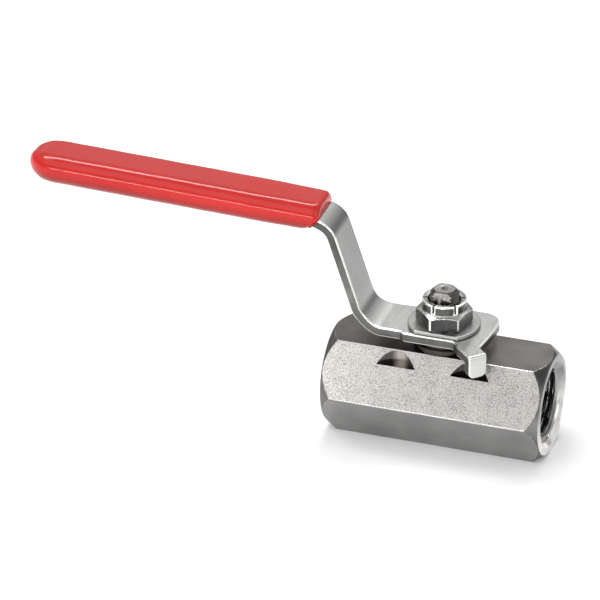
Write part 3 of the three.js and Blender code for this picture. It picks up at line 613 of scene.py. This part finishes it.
def make_body():
    """Closed rings: along the outside, in at the right end, through the bore and out at the left end."""
    outline = bar_outline()
    slope = (HEX_CORNER - END_FACE_RADIUS) / END_CHAMFER
    rim = HALF_LENGTH - RIM_EDGE
    rim_radius = END_FACE_RADIUS + slope * RIM_EDGE

    def ring_at(x, radius_at):
        ring = []
        for y, z in outline:
            grown = radius_at(y, z) / math.hypot(y, z)
            ring.append((x, y * grown, AXIS_Z + z * grown))
        return ring

    def outer_ring(x):
        cone = END_FACE_RADIUS + slope * (HALF_LENGTH - abs(x))
        return ring_at(x, lambda y, z: soft_min(math.hypot(y, z), cone, CHAMFER_BLEND)), "outer"

    def round_ring(x, radius, look):
        return ring_at(x, lambda y, z: radius), look

    def end_rings(side):
        """One end, from the rim of its face to the floor of its socket."""
        made = [round_ring(side * rim, rim_radius, "end"),
                round_ring(side * (HALF_LENGTH - RIM_EDGE * 0.35), END_FACE_RADIUS, "end"),
                round_ring(side * HALF_LENGTH, END_FACE_RADIUS - RIM_EDGE, "end"),
                round_ring(side * HALF_LENGTH, COUNTERSINK_RADIUS + RIM_EDGE * 0.5, "end")]
        for depth in list(np.arange(0.0, SOCKET_DEPTH, THREAD_PITCH / THREAD_STEPS)) + [SOCKET_DEPTH]:
            ring = ring_at(side * (HALF_LENGTH - depth),
                           lambda y, z: thread_radius(depth, math.atan2(z, y) / TAU))
            made.append((ring, "end" if depth < COUNTERSINK_RADIUS - THREAD_ROOT_RADIUS else "bore"))
        return made

    chamfer_start = HALF_LENGTH - END_CHAMFER - 2 * RIM_EDGE
    near_end = list(np.arange(chamfer_start, rim, CHAMFER_STEP))
    middle = list(np.linspace(-chamfer_start, chamfer_start, 9)[1:-1])
    floor = HALF_LENGTH - SOCKET_DEPTH
    bore = ((floor, RETAINER_THREAD_RADIUS), (SEAT_SPAN, RETAINER_THREAD_RADIUS), (SEAT_SPAN, CAVITY_RADIUS),
            (-SEAT_SPAN, CAVITY_RADIUS), (-SEAT_SPAN, WATERWAY_RADIUS), (-floor, WATERWAY_RADIUS))
    rows = [outer_ring(x) for x in [-v for v in reversed(near_end)] + middle + near_end]
    rows += end_rings(1)
    rows += [round_ring(x, radius, "bore") for x, radius in bore]
    rows += reversed(end_rings(-1))

    body = lofted("valve_body_fine", [ring for ring, _ in rows], closed=True)
    for chosen in BODY_STEELS:
        body.data.materials.append(chosen)
    paint_body(body, [look for _, look in rows], len(outline))
    for x in (-NOTCH_X, NOTCH_X):
        notch = cylinder("notch", NOTCH_RADIUS, NOTCH_FLOOR, BODY_HIGH[2] + 1, 128, (x, NOTCH_Y))
        cut_with(body, notch, NOTCH_STEEL)
    cut_with(body, cylinder("stem_hole", STEM_HOLE_RADIUS, AXIS_Z, BODY_HIGH[2] + 1), BORE_STEEL)
    cut_with(body, cylinder("packing_bore", PACKING_BORE_RADIUS, PACKING_FLOOR, BODY_HIGH[2] + 2), BORE_STEEL)
    cut_with(body, cylinder("recess", SHOULDER_RECESS_RADIUS, AXIS_Z, RECESS_TOP), BORE_STEEL)
    smooth(body, 30)
    return stands_for(body, "valve_body", "root")


def paint_body(body, looks, count):
    """Face materials by the kind of surface and, on the outside, by which way each face looks."""
    for face in body.data.polygons:
        kind = looks[face.index // count]
        n = face.normal
        if kind == "bore":
            chosen = BORE_STEEL
        elif kind == "end":
            chosen = END_STEEL
        elif abs(n.x) > 0.2:
            chosen = CONE_STEEL
        elif n.z > 0.98:
            chosen = TOP_STEEL
        elif n.y < -0.83 and 0.44 < n.z < 0.56:
            chosen = FRONT_STEEL
        elif max(abs(n.z), abs(n.z * 0.5 + n.y * 0.866), abs(n.z * 0.5 - n.y * 0.866)) > 0.98:
            chosen = SIDE_STEEL
        else:
            # The rounded corners between the flats get the lighter copy, a painted highlight.
            chosen = BAR_HIGHLIGHT_STEEL
        face.material_index = BODY_STEELS.index(chosen)


def cut_with(piece, tool, chosen):
    """Cuts, and gives the cut faces the chosen material, which the piece already has."""
    tool.data.materials.append(chosen)
    for name in [m.name for m in piece.data.materials]:
        if name != chosen.name:
            tool.data.materials.append(bpy.data.materials[name])
    return combine(piece, tool, "DIFFERENCE")


# ------------------------------------------------------------------ lever

def strip_stations():
    """Along the unbent strip, the x where the riser, the upper bend and the tail start."""
    riser = BEND_X - (BEND_RADIUS + STRAP / 2) * RISER_TILT
    upper_bend = riser - RISER_LENGTH
    return riser, upper_bend, upper_bend - (BEND_RADIUS - STRAP / 2) * (RISER_TILT - TAIL_TILT)


def eased(start, end, handle, steps):
    """A smooth change of width between two points, lengthwise at both ends."""
    reach = math.copysign(handle, end[0] - start[0])
    return curve(start, (start[0] + reach, start[1]), (end[0] - reach, end[1]), end, steps)


def lever_outline():
    """Flat blank of the lever, seen from above, before it is bent: the plate, the tab's tongue at 45
    degrees, and the tail, where X counts the length of the strip from the first bend."""
    _, _, tail_start = strip_stations()
    tail_end = tail_start - TAIL_LENGTH
    narrow, wide = tail_start - NECK_NARROW, tail_start + NECK_WIDE
    flare = BEND_X - FLARE_LENGTH
    out = [(tail_end, TAIL_HALF), (tail_end, -TAIL_HALF)]
    out += eased((narrow, -TAIL_HALF), (wide, -RISER_HALF), NECK_HANDLE, 8)
    out += eased((flare, -RISER_HALF), (BEND_X, -NECK_HALF), FLARE_HANDLE, 12)
    step_end = PLATE_STEP_X + PLATE_STEP_LENGTH
    out += curve((PLATE_STEP_X - 1, -NECK_HALF), (PLATE_STEP_X, -NECK_HALF),
                 (PLATE_STEP_X - 0.2, PLATE_FRONT), (step_end, PLATE_FRONT), 10)
    along, across = tab_axes()
    near = along * TAB_NEAR_REACH - across * TAB_HALF
    far = along * TAB_FAR_REACH + across * TAB_HALF
    start, middle = TAB_FILLET
    out.append((start, PLATE_FRONT))
    out += curve((start, PLATE_FRONT), (middle - 0.4, PLATE_FRONT), (middle + 0.2, PLATE_FRONT - 0.7),
                 tuple(near), 10)
    for x, y in rounded_tongue(tab_length()):
        out.append(tuple(along * x + across * y))
    out.append(tuple(far))
    waist, waist_end = PLATE_WAIST
    out += curve(tuple(far), waist, waist, waist_end, 10)
    out += arc(PLATE_RIGHT - PLATE_CORNER, PLATE_BACK - PLATE_CORNER, PLATE_CORNER, 0, 90, 16)
    back_start, back_end = BACK_TAPER
    out += eased((back_start, PLATE_BACK), (back_end, NECK_HALF), BACK_TAPER_HANDLE, 16)
    out += eased((BEND_X, NECK_HALF), (flare, RISER_HALF), FLARE_HANDLE, 12)
    out += eased((wide, RISER_HALF), (narrow, TAIL_HALF), NECK_HANDLE, 8)
    return out


def tab_axes():
    """Unit vectors along the tab's tongue, away from the stem, and across it towards the plate's end."""
    along = Vector((math.sin(TAB_AZIMUTH), -math.cos(TAB_AZIMUTH)))
    across = Vector((math.cos(TAB_AZIMUTH), math.sin(TAB_AZIMUTH)))
    return along, across


def tab_start():
    return TAB_REACH - TAB_INNER_RADIUS - 0.3


def tab_length():
    """Distance from the stem axis to the end of the tongue before it is folded."""
    return tab_start() + TAB_ZONE + PLATE_BOTTOM - TAB_INNER_RADIUS - 0.3 - TAB_BOTTOM


def rounded_tongue(length):
    low = arc(length - TAB_CORNER, -TAB_HALF + TAB_CORNER, TAB_CORNER, -90, 0, 8)
    high = arc(length - TAB_CORNER, TAB_HALF - TAB_CORNER, TAB_CORNER, 0, 90, 8)
    return low + high


def inset(outline, distance):
    """The outline moved inwards, point by point, along its own normals."""
    points = np.array(outline)
    before = points - np.roll(points, 1, axis=0)
    after = np.roll(points, -1, axis=0) - points
    before /= np.linalg.norm(before, axis=1)[:, None]
    after /= np.linalg.norm(after, axis=1)[:, None]
    tangent = before + after
    tangent /= np.linalg.norm(tangent, axis=1)[:, None]
    normal = np.stack([-tangent[:, 1], tangent[:, 0]], axis=1)
    miter = 1 / np.maximum(0.5, np.einsum("ij,ij->i", normal, np.stack([-after[:, 1], after[:, 0]], axis=1)))
    return points + normal * (distance * miter)[:, None]


def thin_out(outline, gap=0.02):
    kept = [outline[0]]
    for point in outline[1:]:
        if math.dist(point, kept[-1]) > gap:
            kept.append(point)
    return kept


def flat_blank(name, outline, thickness, edge, steps=4):
    """The outline as a plate from height 0 to thickness, with rounded edges all round. Its faces,
    its side and its edges get the first, second and third material."""
    rings = []
    for k in range(steps + 1):
        a = math.pi / 2 * k / steps
        rings.append((edge * (1 - math.sin(a)), edge * (1 - math.cos(a))))
    rings += [(d, thickness - h) for d, h in reversed(rings)]
    blank = lofted(name, [[(x, y, h) for x, y in inset(outline, d)] for d, h in rings])
    for face in blank.data.polygons:
        strip = face.index // len(outline)
        if face.index >= (len(rings) - 1) * len(outline):
            face.material_index = 0
        else:
            face.material_index = 1 if strip == steps else 2
    return blank


def slice_across(piece, direction, places):
    """Adds edge lines across the piece where it is going to bend."""
    edit = bmesh.new()
    edit.from_mesh(piece.data)
    for place in places:
        bmesh.ops.bisect_plane(edit, geom=edit.verts[:] + edit.edges[:] + edit.faces[:],
                               plane_co=direction * (place * MM), plane_no=direction, dist=1e-7)
    edit.to_mesh(piece.data)
    edit.free()


def bend_strip(x, z):
    """Where a point of the flat strip goes once the lever is bent: x along it, z above its underside."""
    if x >= BEND_X:
        return x, PLATE_BOTTOM + z
    lower_x, lower_z = BEND_X, PLATE_TOP + BEND_RADIUS
    first = (BEND_RADIUS + STRAP / 2) * RISER_TILT
    run = BEND_X - x
    reach = BEND_RADIUS + STRAP - z
    if run < first:
        a = run / (BEND_RADIUS + STRAP / 2)
        return lower_x - reach * math.sin(a), lower_z - reach * math.cos(a)
    start_x = lower_x - reach * math.sin(RISER_TILT)
    start_z = lower_z - reach * math.cos(RISER_TILT)
    run -= first
    if run < RISER_LENGTH:
        return start_x - run * math.cos(RISER_TILT), start_z + run * math.sin(RISER_TILT)
    end_x = start_x - RISER_LENGTH * math.cos(RISER_TILT)
    end_z = start_z + RISER_LENGTH * math.sin(RISER_TILT)
    inner = BEND_RADIUS - STRAP + z
    centre_x = end_x - inner * math.sin(RISER_TILT)
    centre_z = end_z - inner * math.cos(RISER_TILT)
    run -= RISER_LENGTH
    middle = BEND_RADIUS - STRAP / 2
    second = middle * (RISER_TILT - TAIL_TILT)
    a = RISER_TILT - min(run, second) / middle
    x_out = centre_x + inner * math.sin(a)
    z_out = centre_z + inner * math.cos(a)
    rest = max(0.0, run - second)
    return x_out - rest * math.cos(TAIL_TILT), z_out + rest * math.sin(TAIL_TILT)


def along_fold(share, corner_x, top, radius, foot):
    """A point part of the way along one side of the fold: level, round the corner, then down."""
    start = tab_start()
    level = corner_x - radius - start
    turn = radius * math.pi / 2
    down = top - radius - foot
    done = share * (level + turn + down)
    if done < level:
        return start + done, top
    if done < level + turn:
        a = (done - level) / radius
        return corner_x - radius + radius * math.sin(a), top - radius + radius * math.cos(a)
    return corner_x, top - radius - (done - level - turn)


def bend_tab(reach, z):
    """Where a point of the tab's tongue goes: reach from the stem axis, z above the underside. The
    fold is sharper outside than inside, so its two sides are followed apart and mixed between."""
    foot = PLATE_BOTTOM - TAB_INNER_RADIUS - 0.3
    share = min(1.0, max(0.0, (reach - tab_start()) / TAB_ZONE))
    inner = along_fold(share, TAB_REACH, PLATE_BOTTOM, TAB_INNER_RADIUS, foot)
    outer = along_fold(share, TAB_REACH + STRAP, PLATE_TOP, TAB_OUTER_RADIUS, foot)
    part = z / STRAP
    rest = max(0.0, reach - tab_start() - TAB_ZONE)
    return inner[0] + (outer[0] - inner[0]) * part, inner[1] + (outer[1] - inner[1]) * part - rest


def make_lever():
    lever = flat_blank("lever_fine", thin_out(lever_outline()), STRAP, STRAP_EDGE)
    # The faces, the sheared sides and the rounded edges; the edges' near-white copy is a painted highlight.
    for chosen in (LEVER_STEEL, SHEARED_STEEL, LEVER_HIGHLIGHT_STEEL):
        lever.data.materials.append(chosen)
    riser, upper_bend, tail = strip_stations()
    places = list(np.linspace(BEND_X, riser, 25)) + list(np.linspace(riser, upper_bend, 7)[1:-1])
    places += list(np.linspace(upper_bend, tail, 19)) + list(np.linspace(tail - 1, tail - 12, 5))
    slice_across(lever, Vector((1, 0, 0)), places)
    along, across = tab_axes()
    turn = np.linspace(0, TAB_ZONE, 41)
    slice_across(lever, Vector((along.x, along.y, 0)), [tab_start() + t for t in turn])
    for vertex in lever.data.vertices:
        x, y, z = vertex.co / MM
        reach = x * along.x + y * along.y
        if reach > tab_start() and x > 0:
            sideways = x * across.x + y * across.y
            reach, height = bend_tab(reach, z)
            point = along * reach + across * sideways
            vertex.co = Vector((point.x, point.y, height)) * MM
        else:
            x, z = bend_strip(x, z)
            vertex.co = Vector((x, y, z)) * MM
    outward(lever)
    half_flats = STEM_HALF_FLATS + HOLE_FIT
    hole = double_flat_rod("lever_hole", STEM_HOLE_RADIUS, half_flats, PLATE_BOTTOM - 1, PLATE_TOP + 1)
    cut_with(lever, hole, SHEARED_STEEL)
    smooth(lever, 40)
    return stands_for(lever, "handle_lever", "lever")


def double_flat_rod(name, radius, half_flats, low, high, sides=96):
    outline = []
    for i in range(sides):
        a = TAU * i / sides
        outline.append((radius * math.cos(a), max(-half_flats, min(half_flats, radius * math.sin(a)))))
    return prism(name, outline, low, high)


# ------------------------------------------------------------------ grip

def grip_middle_z(x):
    return GRIP_REFERENCE_Z + (GRIP_REFERENCE_X - x) * math.tan(TAIL_TILT)


def grip_section(half_width, half_height, edge, count=64):
    """A flat section with round sides, as (y, z) about its middle."""
    edge = min(edge, half_width, half_height)
    corners = [(half_width, -half_height, edge), (half_width, half_height, edge),
               (-half_width, half_height, edge), (-half_width, -half_height, edge)]
    outline = np.array(rounded(corners, 24))
    return even_points(outline, count)


def even_points(outline, count):
    """The same closed outline with equally spaced points."""
    closed = np.vstack([outline, outline[:1]])
    lengths = np.linalg.norm(np.diff(closed, axis=0), axis=1)
    total = np.concatenate([[0], np.cumsum(lengths)])
    wanted = np.linspace(0, total[-1], count, endpoint=False)
    return np.stack([np.interp(wanted, total, closed[:, k]) for k in (0, 1)], axis=1)


def strap_middle_z(x):
    """Height of the middle of the lever's tail inside the grip."""
    _, _, tail_start = strip_stations()
    start_x, start_z = bend_strip(tail_start, STRAP / 2)
    return start_z + (start_x - x) * math.tan(TAIL_TILT)


def grip_ring(x, half_width, half_height, slant=0.0, edge=GRIP_EDGE, middle=None):
    middle = grip_middle_z(x) if middle is None else middle
    ring = []
    for y, z in grip_section(half_width, half_height, edge):
        under = min(1.0, max(0.0, (grip_middle_z(x) - middle - z) / GRIP_HALF_HEIGHT + 0.12))
        ring.append((x - slant * under ** 1.3, y, middle + z))
    return ring


def make_grip():
    """A sleeve with a slanted mouth and a rounded nose, solid behind a short pocket for the tail."""
    rings = []
    inner_height = STRAP / 2 + GRIP_FIT
    for behind, width, slant in ((POCKET_DEPTH, TAIL_HALF, 0), (4, TAIL_HALF, 0),
                                 (0.3, MOUTH_HALF, GRIP_SLANT), (0, MOUTH_HALF + 0.1, GRIP_SLANT)):
        x = GRIP_MOUTH_X - behind
        rings.append(grip_ring(x, width + GRIP_FIT, inner_height, slant, POCKET_EDGE, strap_middle_z(x)))
    for k in range(9):
        a = math.pi / 2 * k / 8
        shrink = GRIP_LIP * (1 - math.sin(a))
        rings.append(grip_ring(GRIP_MOUTH_X - GRIP_LIP * (1 - math.cos(a)),
                               GRIP_HALF_WIDTH - MOUTH_NARROWING - shrink,
                               GRIP_HALF_HEIGHT - MOUTH_THINNING - shrink, GRIP_SLANT))
    nose_x = GRIP_TIP_X + GRIP_NOSE_LENGTH
    for x in np.linspace(GRIP_MOUTH_X - 2, nose_x, 40):
        near_mouth = max(0.0, 1 - (GRIP_MOUTH_X - x) / 14)
        swell = 0.03 * math.sin((x - GRIP_TIP_X) * 0.42) + 0.02 * math.sin((x - GRIP_TIP_X) * 0.93)
        slant = GRIP_SLANT * max(0.0, 1 - (GRIP_MOUTH_X - x) / 11)
        rings.append(grip_ring(x, GRIP_HALF_WIDTH - MOUTH_NARROWING * near_mouth - 0.05 + swell,
                               GRIP_HALF_HEIGHT - MOUTH_THINNING * near_mouth, slant))
    for k in range(1, 17):
        a = math.pi / 2 * k / 16
        left = GRIP_NOSE_LENGTH * (1 - math.sin(a))
        width = GRIP_HALF_WIDTH * (1 - (1 - left / GRIP_NOSE_LENGTH) ** 2.3) ** 0.5
        depth = min(1.0, left / GRIP_NOSE_DEPTH)
        height = GRIP_HALF_HEIGHT * (1 - (1 - depth) ** 2) ** 0.5
        rings.append(grip_ring(GRIP_TIP_X + left, max(width, 0.15), max(height, 0.15), 0))
    grip = lofted("grip_fine", rings)
    grip.data.materials.append(GRIP_VINYL)
    smooth(grip, 60)
    return stands_for(grip, "handle_grip", "lever")


# ------------------------------------------------------------------ stem, nut, washer, gland

def make_stem():
    """The stem with its thread above the lever, two flats, a chamfered top and a centre-drill mark."""
    sides = 144
    heights = [STEM_LOW[2] + 5.0, STEM_FLATS_START - 0.01, STEM_FLATS_START, STEM_THREAD_START - 0.3]
    heights += list(np.arange(STEM_THREAD_START, STEM_TOP, STEM_PITCH / 12)) + [STEM_TOP]
    rings = []
    for z in heights:
        ring = []
        for i in range(sides):
            angle = TAU * i / sides
            radius = STEM_RADIUS
            if z >= STEM_THREAD_START:
                phase = (z / STEM_PITCH - i / sides) % 1.0
                radius -= STEM_THREAD_DEPTH * min(1.0, abs(2 * phase - 1) * 1.15)
            if z >= STEM_FLATS_START:
                to_flat = STEM_HALF_FLATS - max(0.0, z - STEM_TOP + STEM_BROKEN_EDGE)
                radius = min(radius, to_flat / max(1e-6, abs(math.sin(angle))))
            radius = min(radius, STEM_RADIUS - STEM_CHAMFER + (STEM_TOP - z))
            ring.append((radius * math.cos(angle), radius * math.sin(angle), z))
        rings.append(ring)
    dimple = ((STEM_DIMPLE_RADIUS + 0.15, 0.0), (STEM_DIMPLE_RADIUS, 0.05), (0.1, STEM_DIMPLE_DEPTH))
    for radius, drop in dimple:
        turns = [TAU * i / sides for i in range(sides)]
        rings.append([(radius * math.cos(a), radius * math.sin(a), STEM_TOP - drop) for a in turns])
    stem = lofted("stem_fine", rings)
    half_x, half_y = TANG_HALF
    tang = new_block("tang", (-half_x, -half_y, STEM_LOW[2]), (half_x, half_y, STEM_LOW[2] + TANG_LENGTH))
    shoulder = cylinder("shoulder", SHOULDER_RADIUS, *SHOULDER_SPAN)
    combine(stem, shoulder, "UNION")
    combine(stem, tang, "UNION")
    stem.data.materials.append(STEM_STEEL)
    stem.data.materials.append(STEM_THREAD_SHADE_STEEL)
    # The thread, the top chamfer, the broken edges and the centre-drill mark take the dark copy as painted
    # shade; the flats and the top stay light.
    for face in stem.data.polygons:
        centre, n = face.center / MM, face.normal
        on_flat = abs(abs(centre.y) - STEM_HALF_FLATS) < 0.03 and abs(n.y) > 0.98
        above = centre.z > STEM_THREAD_START - 0.3
        face.material_index = 1 if above and not on_flat and n.z < 0.98 else 0
    smooth(stem, 24)
    return stands_for(stem, "stem", "lever")


def new_block(name, low, high):
    outline = [(low[0], low[1]), (high[0], low[1]), (high[0], high[1]), (low[0], high[1])]
    return prism(name, outline, low[2], high[2])


def nut_angles():
    """Angles round the nut in degrees from one corner to the next six, closer together at the corners."""
    half = [0, 0.7, 1.4, 2.1, 2.8, 3.6, 4.6, 5.8, 7.2, 9, 11.5, 14.5, 18, 22, 26, 30]
    sector = half + [60 - v for v in reversed(half[1:-1])]
    return [60 * i + v for i in range(6) for v in sector]


def make_nut():
    """A hexagon with chamfered ends under a round crown, which six slots cut into segments."""
    bottom, top, crown_top = NUT_LOW[2], NUT_LOW[2] + NUT_HEX_HEIGHT, NUT_HIGH[2]
    angles = nut_angles()
    from_corner = [min(v % 60, 60 - v % 60) for v in angles]
    apothem = NUT_ACROSS_FLATS / 2
    rings, looks = [], []

    def ring(z, radii, look):
        rings.append([(r * math.cos(math.radians(v) + NUT_TURN), r * math.sin(math.radians(v) + NUT_TURN), z)
                      for r, v in zip(radii, angles)])
        looks.append(look)

    def hex_radii(cone):
        made = []
        for away in from_corner:
            flat = apothem / math.cos(math.radians(30 - away))
            corner = soft_min(flat, apothem / math.cos(math.radians(30 + away)), NUT_BLEND)
            made.append(soft_min(corner, cone, NUT_BLEND))
        return made

    def crown_radii(radius, share):
        made = []
        for away in from_corner:
            gap = max(0.0, math.radians(away) * radius - NUT_SLOT_WIDTH / 2)
            made.append(radius - share * 0.22 * max(0.0, 1 - gap / NUT_FRAME) ** 2)
        return made

    depths = list(np.arange(0, NUT_CHAMFER_DEPTH, 0.05)) + [NUT_CHAMFER_DEPTH]
    for depth in depths:
        ring(bottom + depth, hex_radii(NUT_CHAMFER_FOOT + 0.4 + depth * NUT_CHAMFER_SLOPE), "hex")
    for depth in reversed(depths):
        ring(top - depth, hex_radii(NUT_CHAMFER_FOOT + depth * NUT_CHAMFER_SLOPE), "hex")
    ring(top + 0.06, [NUT_CROWN_RADIUS + 0.12] * len(angles), "chamfer")
    ring(top + 0.25, [NUT_CROWN_RADIUS] * len(angles), "chamfer")
    for z in np.linspace(crown_top - NUT_SLOT_DEPTH - 0.2, crown_top - NUT_CROWN_EDGE, 7):
        share = min(1.0, max(0.0, (z - crown_top + NUT_SLOT_DEPTH + 0.2) / 0.6))
        ring(z, crown_radii(NUT_CROWN_RADIUS, share), "crown")
    for k in range(1, 7):
        a = math.pi / 2 * k / 6
        radius = NUT_CROWN_RADIUS - NUT_CROWN_EDGE * (1 - math.cos(a))
        look = "rim" if k < 6 else "chamfer"
        ring(crown_top - NUT_CROWN_EDGE * (1 - math.sin(a)), crown_radii(radius, 1.0), look)
    ring(crown_top, [STEM_HOLE_RADIUS + 0.4] * len(angles), "rim")
    ring(crown_top - 0.4, [STEM_HOLE_RADIUS] * len(angles), "hole")
    ring(bottom + 0.3, [STEM_HOLE_RADIUS] * len(angles), "hole")
    ring(bottom, [STEM_HOLE_RADIUS + 0.3] * len(angles), "hole")
    nut = lofted("locknut_fine", rings, closed=True)
    for chosen in NUT_STEELS:
        nut.data.materials.append(chosen)
    paint_nut(nut, looks, from_corner, crown_top)
    for i in range(3):
        half = NUT_SLOT_WIDTH / 2
        a = TAU * i / 6 + NUT_TURN
        run = Vector((math.cos(a), math.sin(a)))
        across = Vector((-run.y, run.x))
        corners = ((-1, -1), (1, -1), (1, 1), (-1, 1))
        outline = [tuple(run * sx * 8 + across * sy * half) for sx, sy in corners]
        cut_with(nut, prism("slot", outline, crown_top - NUT_SLOT_DEPTH, crown_top + 1), NUT_FACE_STEEL)
    smooth(nut, 50)
    return stands_for(nut, "stem_locknut", "lever")


def paint_nut(nut, looks, from_corner, crown_top):
    # One steel in four copies: dark faces and crown as painted shade, lighter chamfers and near-white
    # corners, rims and crown frames as painted light.
    count = len(from_corner)
    for face in nut.data.polygons:
        look = looks[face.index // count]
        away = from_corner[face.index % count]
        centre = face.center / MM
        gap = math.radians(away) * math.hypot(centre.x, centre.y)
        tilt = abs(face.normal.z)
        if look == "chamfer" or (look == "hex" and tilt > 0.75):
            chosen = NUT_CHAMFER_STEEL
        elif look == "rim" or (look == "hex" and (tilt > 0.12 or gap < NUT_CORNER_HIGHLIGHT)):
            chosen = NUT_HIGHLIGHT_STEEL
        elif look == "crown":
            in_highlight_frame = gap < NUT_FRAME or centre.z > crown_top - NUT_CROWN_EDGE - 0.05
            chosen = NUT_HIGHLIGHT_STEEL if in_highlight_frame else NUT_CROWN_SHADE_STEEL
        else:
            chosen = NUT_FACE_STEEL
        face.material_index = NUT_STEELS.index(chosen)


def make_washer():
    """A round washer with a flat front edge, bevelled all round its upper face."""
    low, high = WASHER_LOW[2], WASHER_HIGH[2]
    outer = WASHER_HIGH[0]
    reach = math.degrees(math.asin(-WASHER_FLAT / outer))
    outline = thin_out(arc(0, 0, outer, -reach, 180 + reach, 120))
    rings = [[(x, y, z) for x, y in inset(outline, d)]
             for d, z in ((0.15, low), (0, low + 0.15), (0, high - 0.4), (0.12, high - 0.12), (0.4, high))]
    washer = lofted("washer_fine", rings)
    washer.data.materials.append(WASHER_STEEL)
    combine(washer, cylinder("hole", STEM_HOLE_RADIUS, low - 1, high + 1), "DIFFERENCE")
    smooth(washer, 40)
    return stands_for(washer, "nut_washer", "lever")


def make_gland():
    skirt, flange, top = GLAND_LOW[2], GLAND_FLANGE, GLAND_HIGH[2]
    outer = GLAND_HIGH[0]
    profile = rounded([(STEM_HOLE_RADIUS, skirt, 0.05), (GLAND_SKIRT_RADIUS, skirt, 0.05),
                       (GLAND_SKIRT_RADIUS, flange, 0), (outer, flange, 0.15), (outer, top, 0.3),
                       (STEM_HOLE_RADIUS, top, 0.1)], 4)
    gland = turned("gland_fine", profile, 96)
    gland.data.materials.append(GLAND_STEEL)
    smooth(gland, 40)
    return stands_for(gland, "gland_follower", "root")


# ------------------------------------------------------------------ CAD nodes that stay

def finish_cad_nodes():
    looks = {"seat_retainer": INSERT_STEEL, "retainer_seal": SEAT_POLYMER, "ball": BALL_STEEL,
             "seat_left": SEAT_POLYMER, "seat_right": SEAT_POLYMER, "thrust_washer": SEAT_POLYMER,
             "packing_ring_lower": PACKING_POLYMER, "packing_ring_middle": PACKING_POLYMER,
             "packing_ring_upper": PACKING_POLYMER, "disc_spring_lower": SPRING_STEEL,
             "disc_spring_upper": SPRING_STEEL}
    for node, look in looks.items():
        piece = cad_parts[node]
        piece.data.materials.clear()
        piece.data.materials.append(look)


# ------------------------------------------------------------------ floor, light and camera

def make_floor():
    made, tree, shader = material("pale_floor")
    shade = noise(tree, coordinates(tree), 3.0, 2.0)
    pale = ramp(tree, shade, [(0.3, (0.93, 0.93, 0.93)), (0.7, (0.95, 0.95, 0.95))])
    link(tree, pale, shader.inputs["Base Color"])
    shader.inputs["Roughness"].default_value = 0.9
    reach = 3000
    floor = new_object("floor", [(-reach, -reach, -0.05), (reach, -reach, -0.05), (reach, reach, -0.05),
                                 (-reach, reach, -0.05)], [(0, 1, 2, 3)])
    floor.data.materials.append(made)


def make_world():
    world = bpy.data.worlds.new("studio")
    bpy.context.scene.world = world
    world.use_nodes = True
    tree = world.node_tree
    background = tree.nodes["Background"]
    place = tree.nodes.new("ShaderNodeTexCoord")
    split = tree.nodes.new("ShaderNodeSeparateXYZ")
    link(tree, place.outputs["Generated"], split.inputs["Vector"])
    sky = ramp(tree, remap(tree, split.outputs["Z"], 0.0, 1.0),
               [(0.0, (0.40, 0.40, 0.40)), (0.22, (0.45, 0.45, 0.45)), (0.42, (0.92, 0.92, 0.92)),
                (0.75, (0.80, 0.80, 0.80))])
    link(tree, sky, background.inputs["Color"])
    background.inputs["Strength"].default_value = 1.0


def add_light(name, place, size, power, target=(0, 0, 0.02)):
    data = bpy.data.lights.new(name, "AREA")
    data.shape = "RECTANGLE"
    data.size, data.size_y = size
    data.energy = power
    lamp = bpy.data.objects.new(name, data)
    lamp.location = place
    lamp.rotation_mode = "QUATERNION"
    lamp.rotation_quaternion = (Vector(target) - Vector(place)).to_track_quat("-Z", "Y")
    lamp.visible_camera = False
    bpy.context.scene.collection.objects.link(lamp)


def make_lights():
    add_light("key", (-0.35, -0.55, 0.75), (0.8, 0.6), 1.4)
    add_light("fill", (0.7, -0.3, 0.35), (0.4, 0.5), 0.8)
    add_light("rim", (0.15, 0.7, 0.75), (0.7, 0.2), 0.8)
    add_light("top_strip", (-0.26, 0.20, 0.70), (0.9, 0.075), 3.8, (-0.07, 0, 0.06))
    add_light("low_strip", (-0.20, -0.85, 0.13), (0.9, 0.055), 2.7, (-0.07, 0, 0.055))


def make_camera():
    azimuth, elevation = math.radians(18.4), math.radians(29.3)
    distance, lens = 1.4, 321.7
    aim_left, aim_up = 0.0374, 0.0226
    back = Vector((math.sin(azimuth) * math.cos(elevation), -math.cos(azimuth) * math.cos(elevation),
                   math.sin(elevation)))
    right = Vector((math.cos(azimuth), math.sin(azimuth), 0))
    up = back.cross(right)
    aim = Vector((0, 0, AXIS_Z)) * MM - right * aim_left + up * aim_up
    data = bpy.data.cameras.new("camera")
    data.sensor_width = 36.0
    data.lens = lens
    data.clip_start, data.clip_end = 0.05, 20.0
    camera = bpy.data.objects.new("camera", data)
    camera.location = aim + back * distance
    camera.rotation_mode = "QUATERNION"
    camera.rotation_quaternion = (-back).to_track_quat("-Z", "Y")
    bpy.context.scene.collection.objects.link(camera)
    bpy.context.scene.camera = camera


make_camera()
make_body()
make_lever()
make_grip()
make_stem()
make_nut()
make_washer()
make_gland()
finish_cad_nodes()
make_floor()
make_world()
make_lights()
bpy.context.scene.view_settings.view_transform = "Standard"
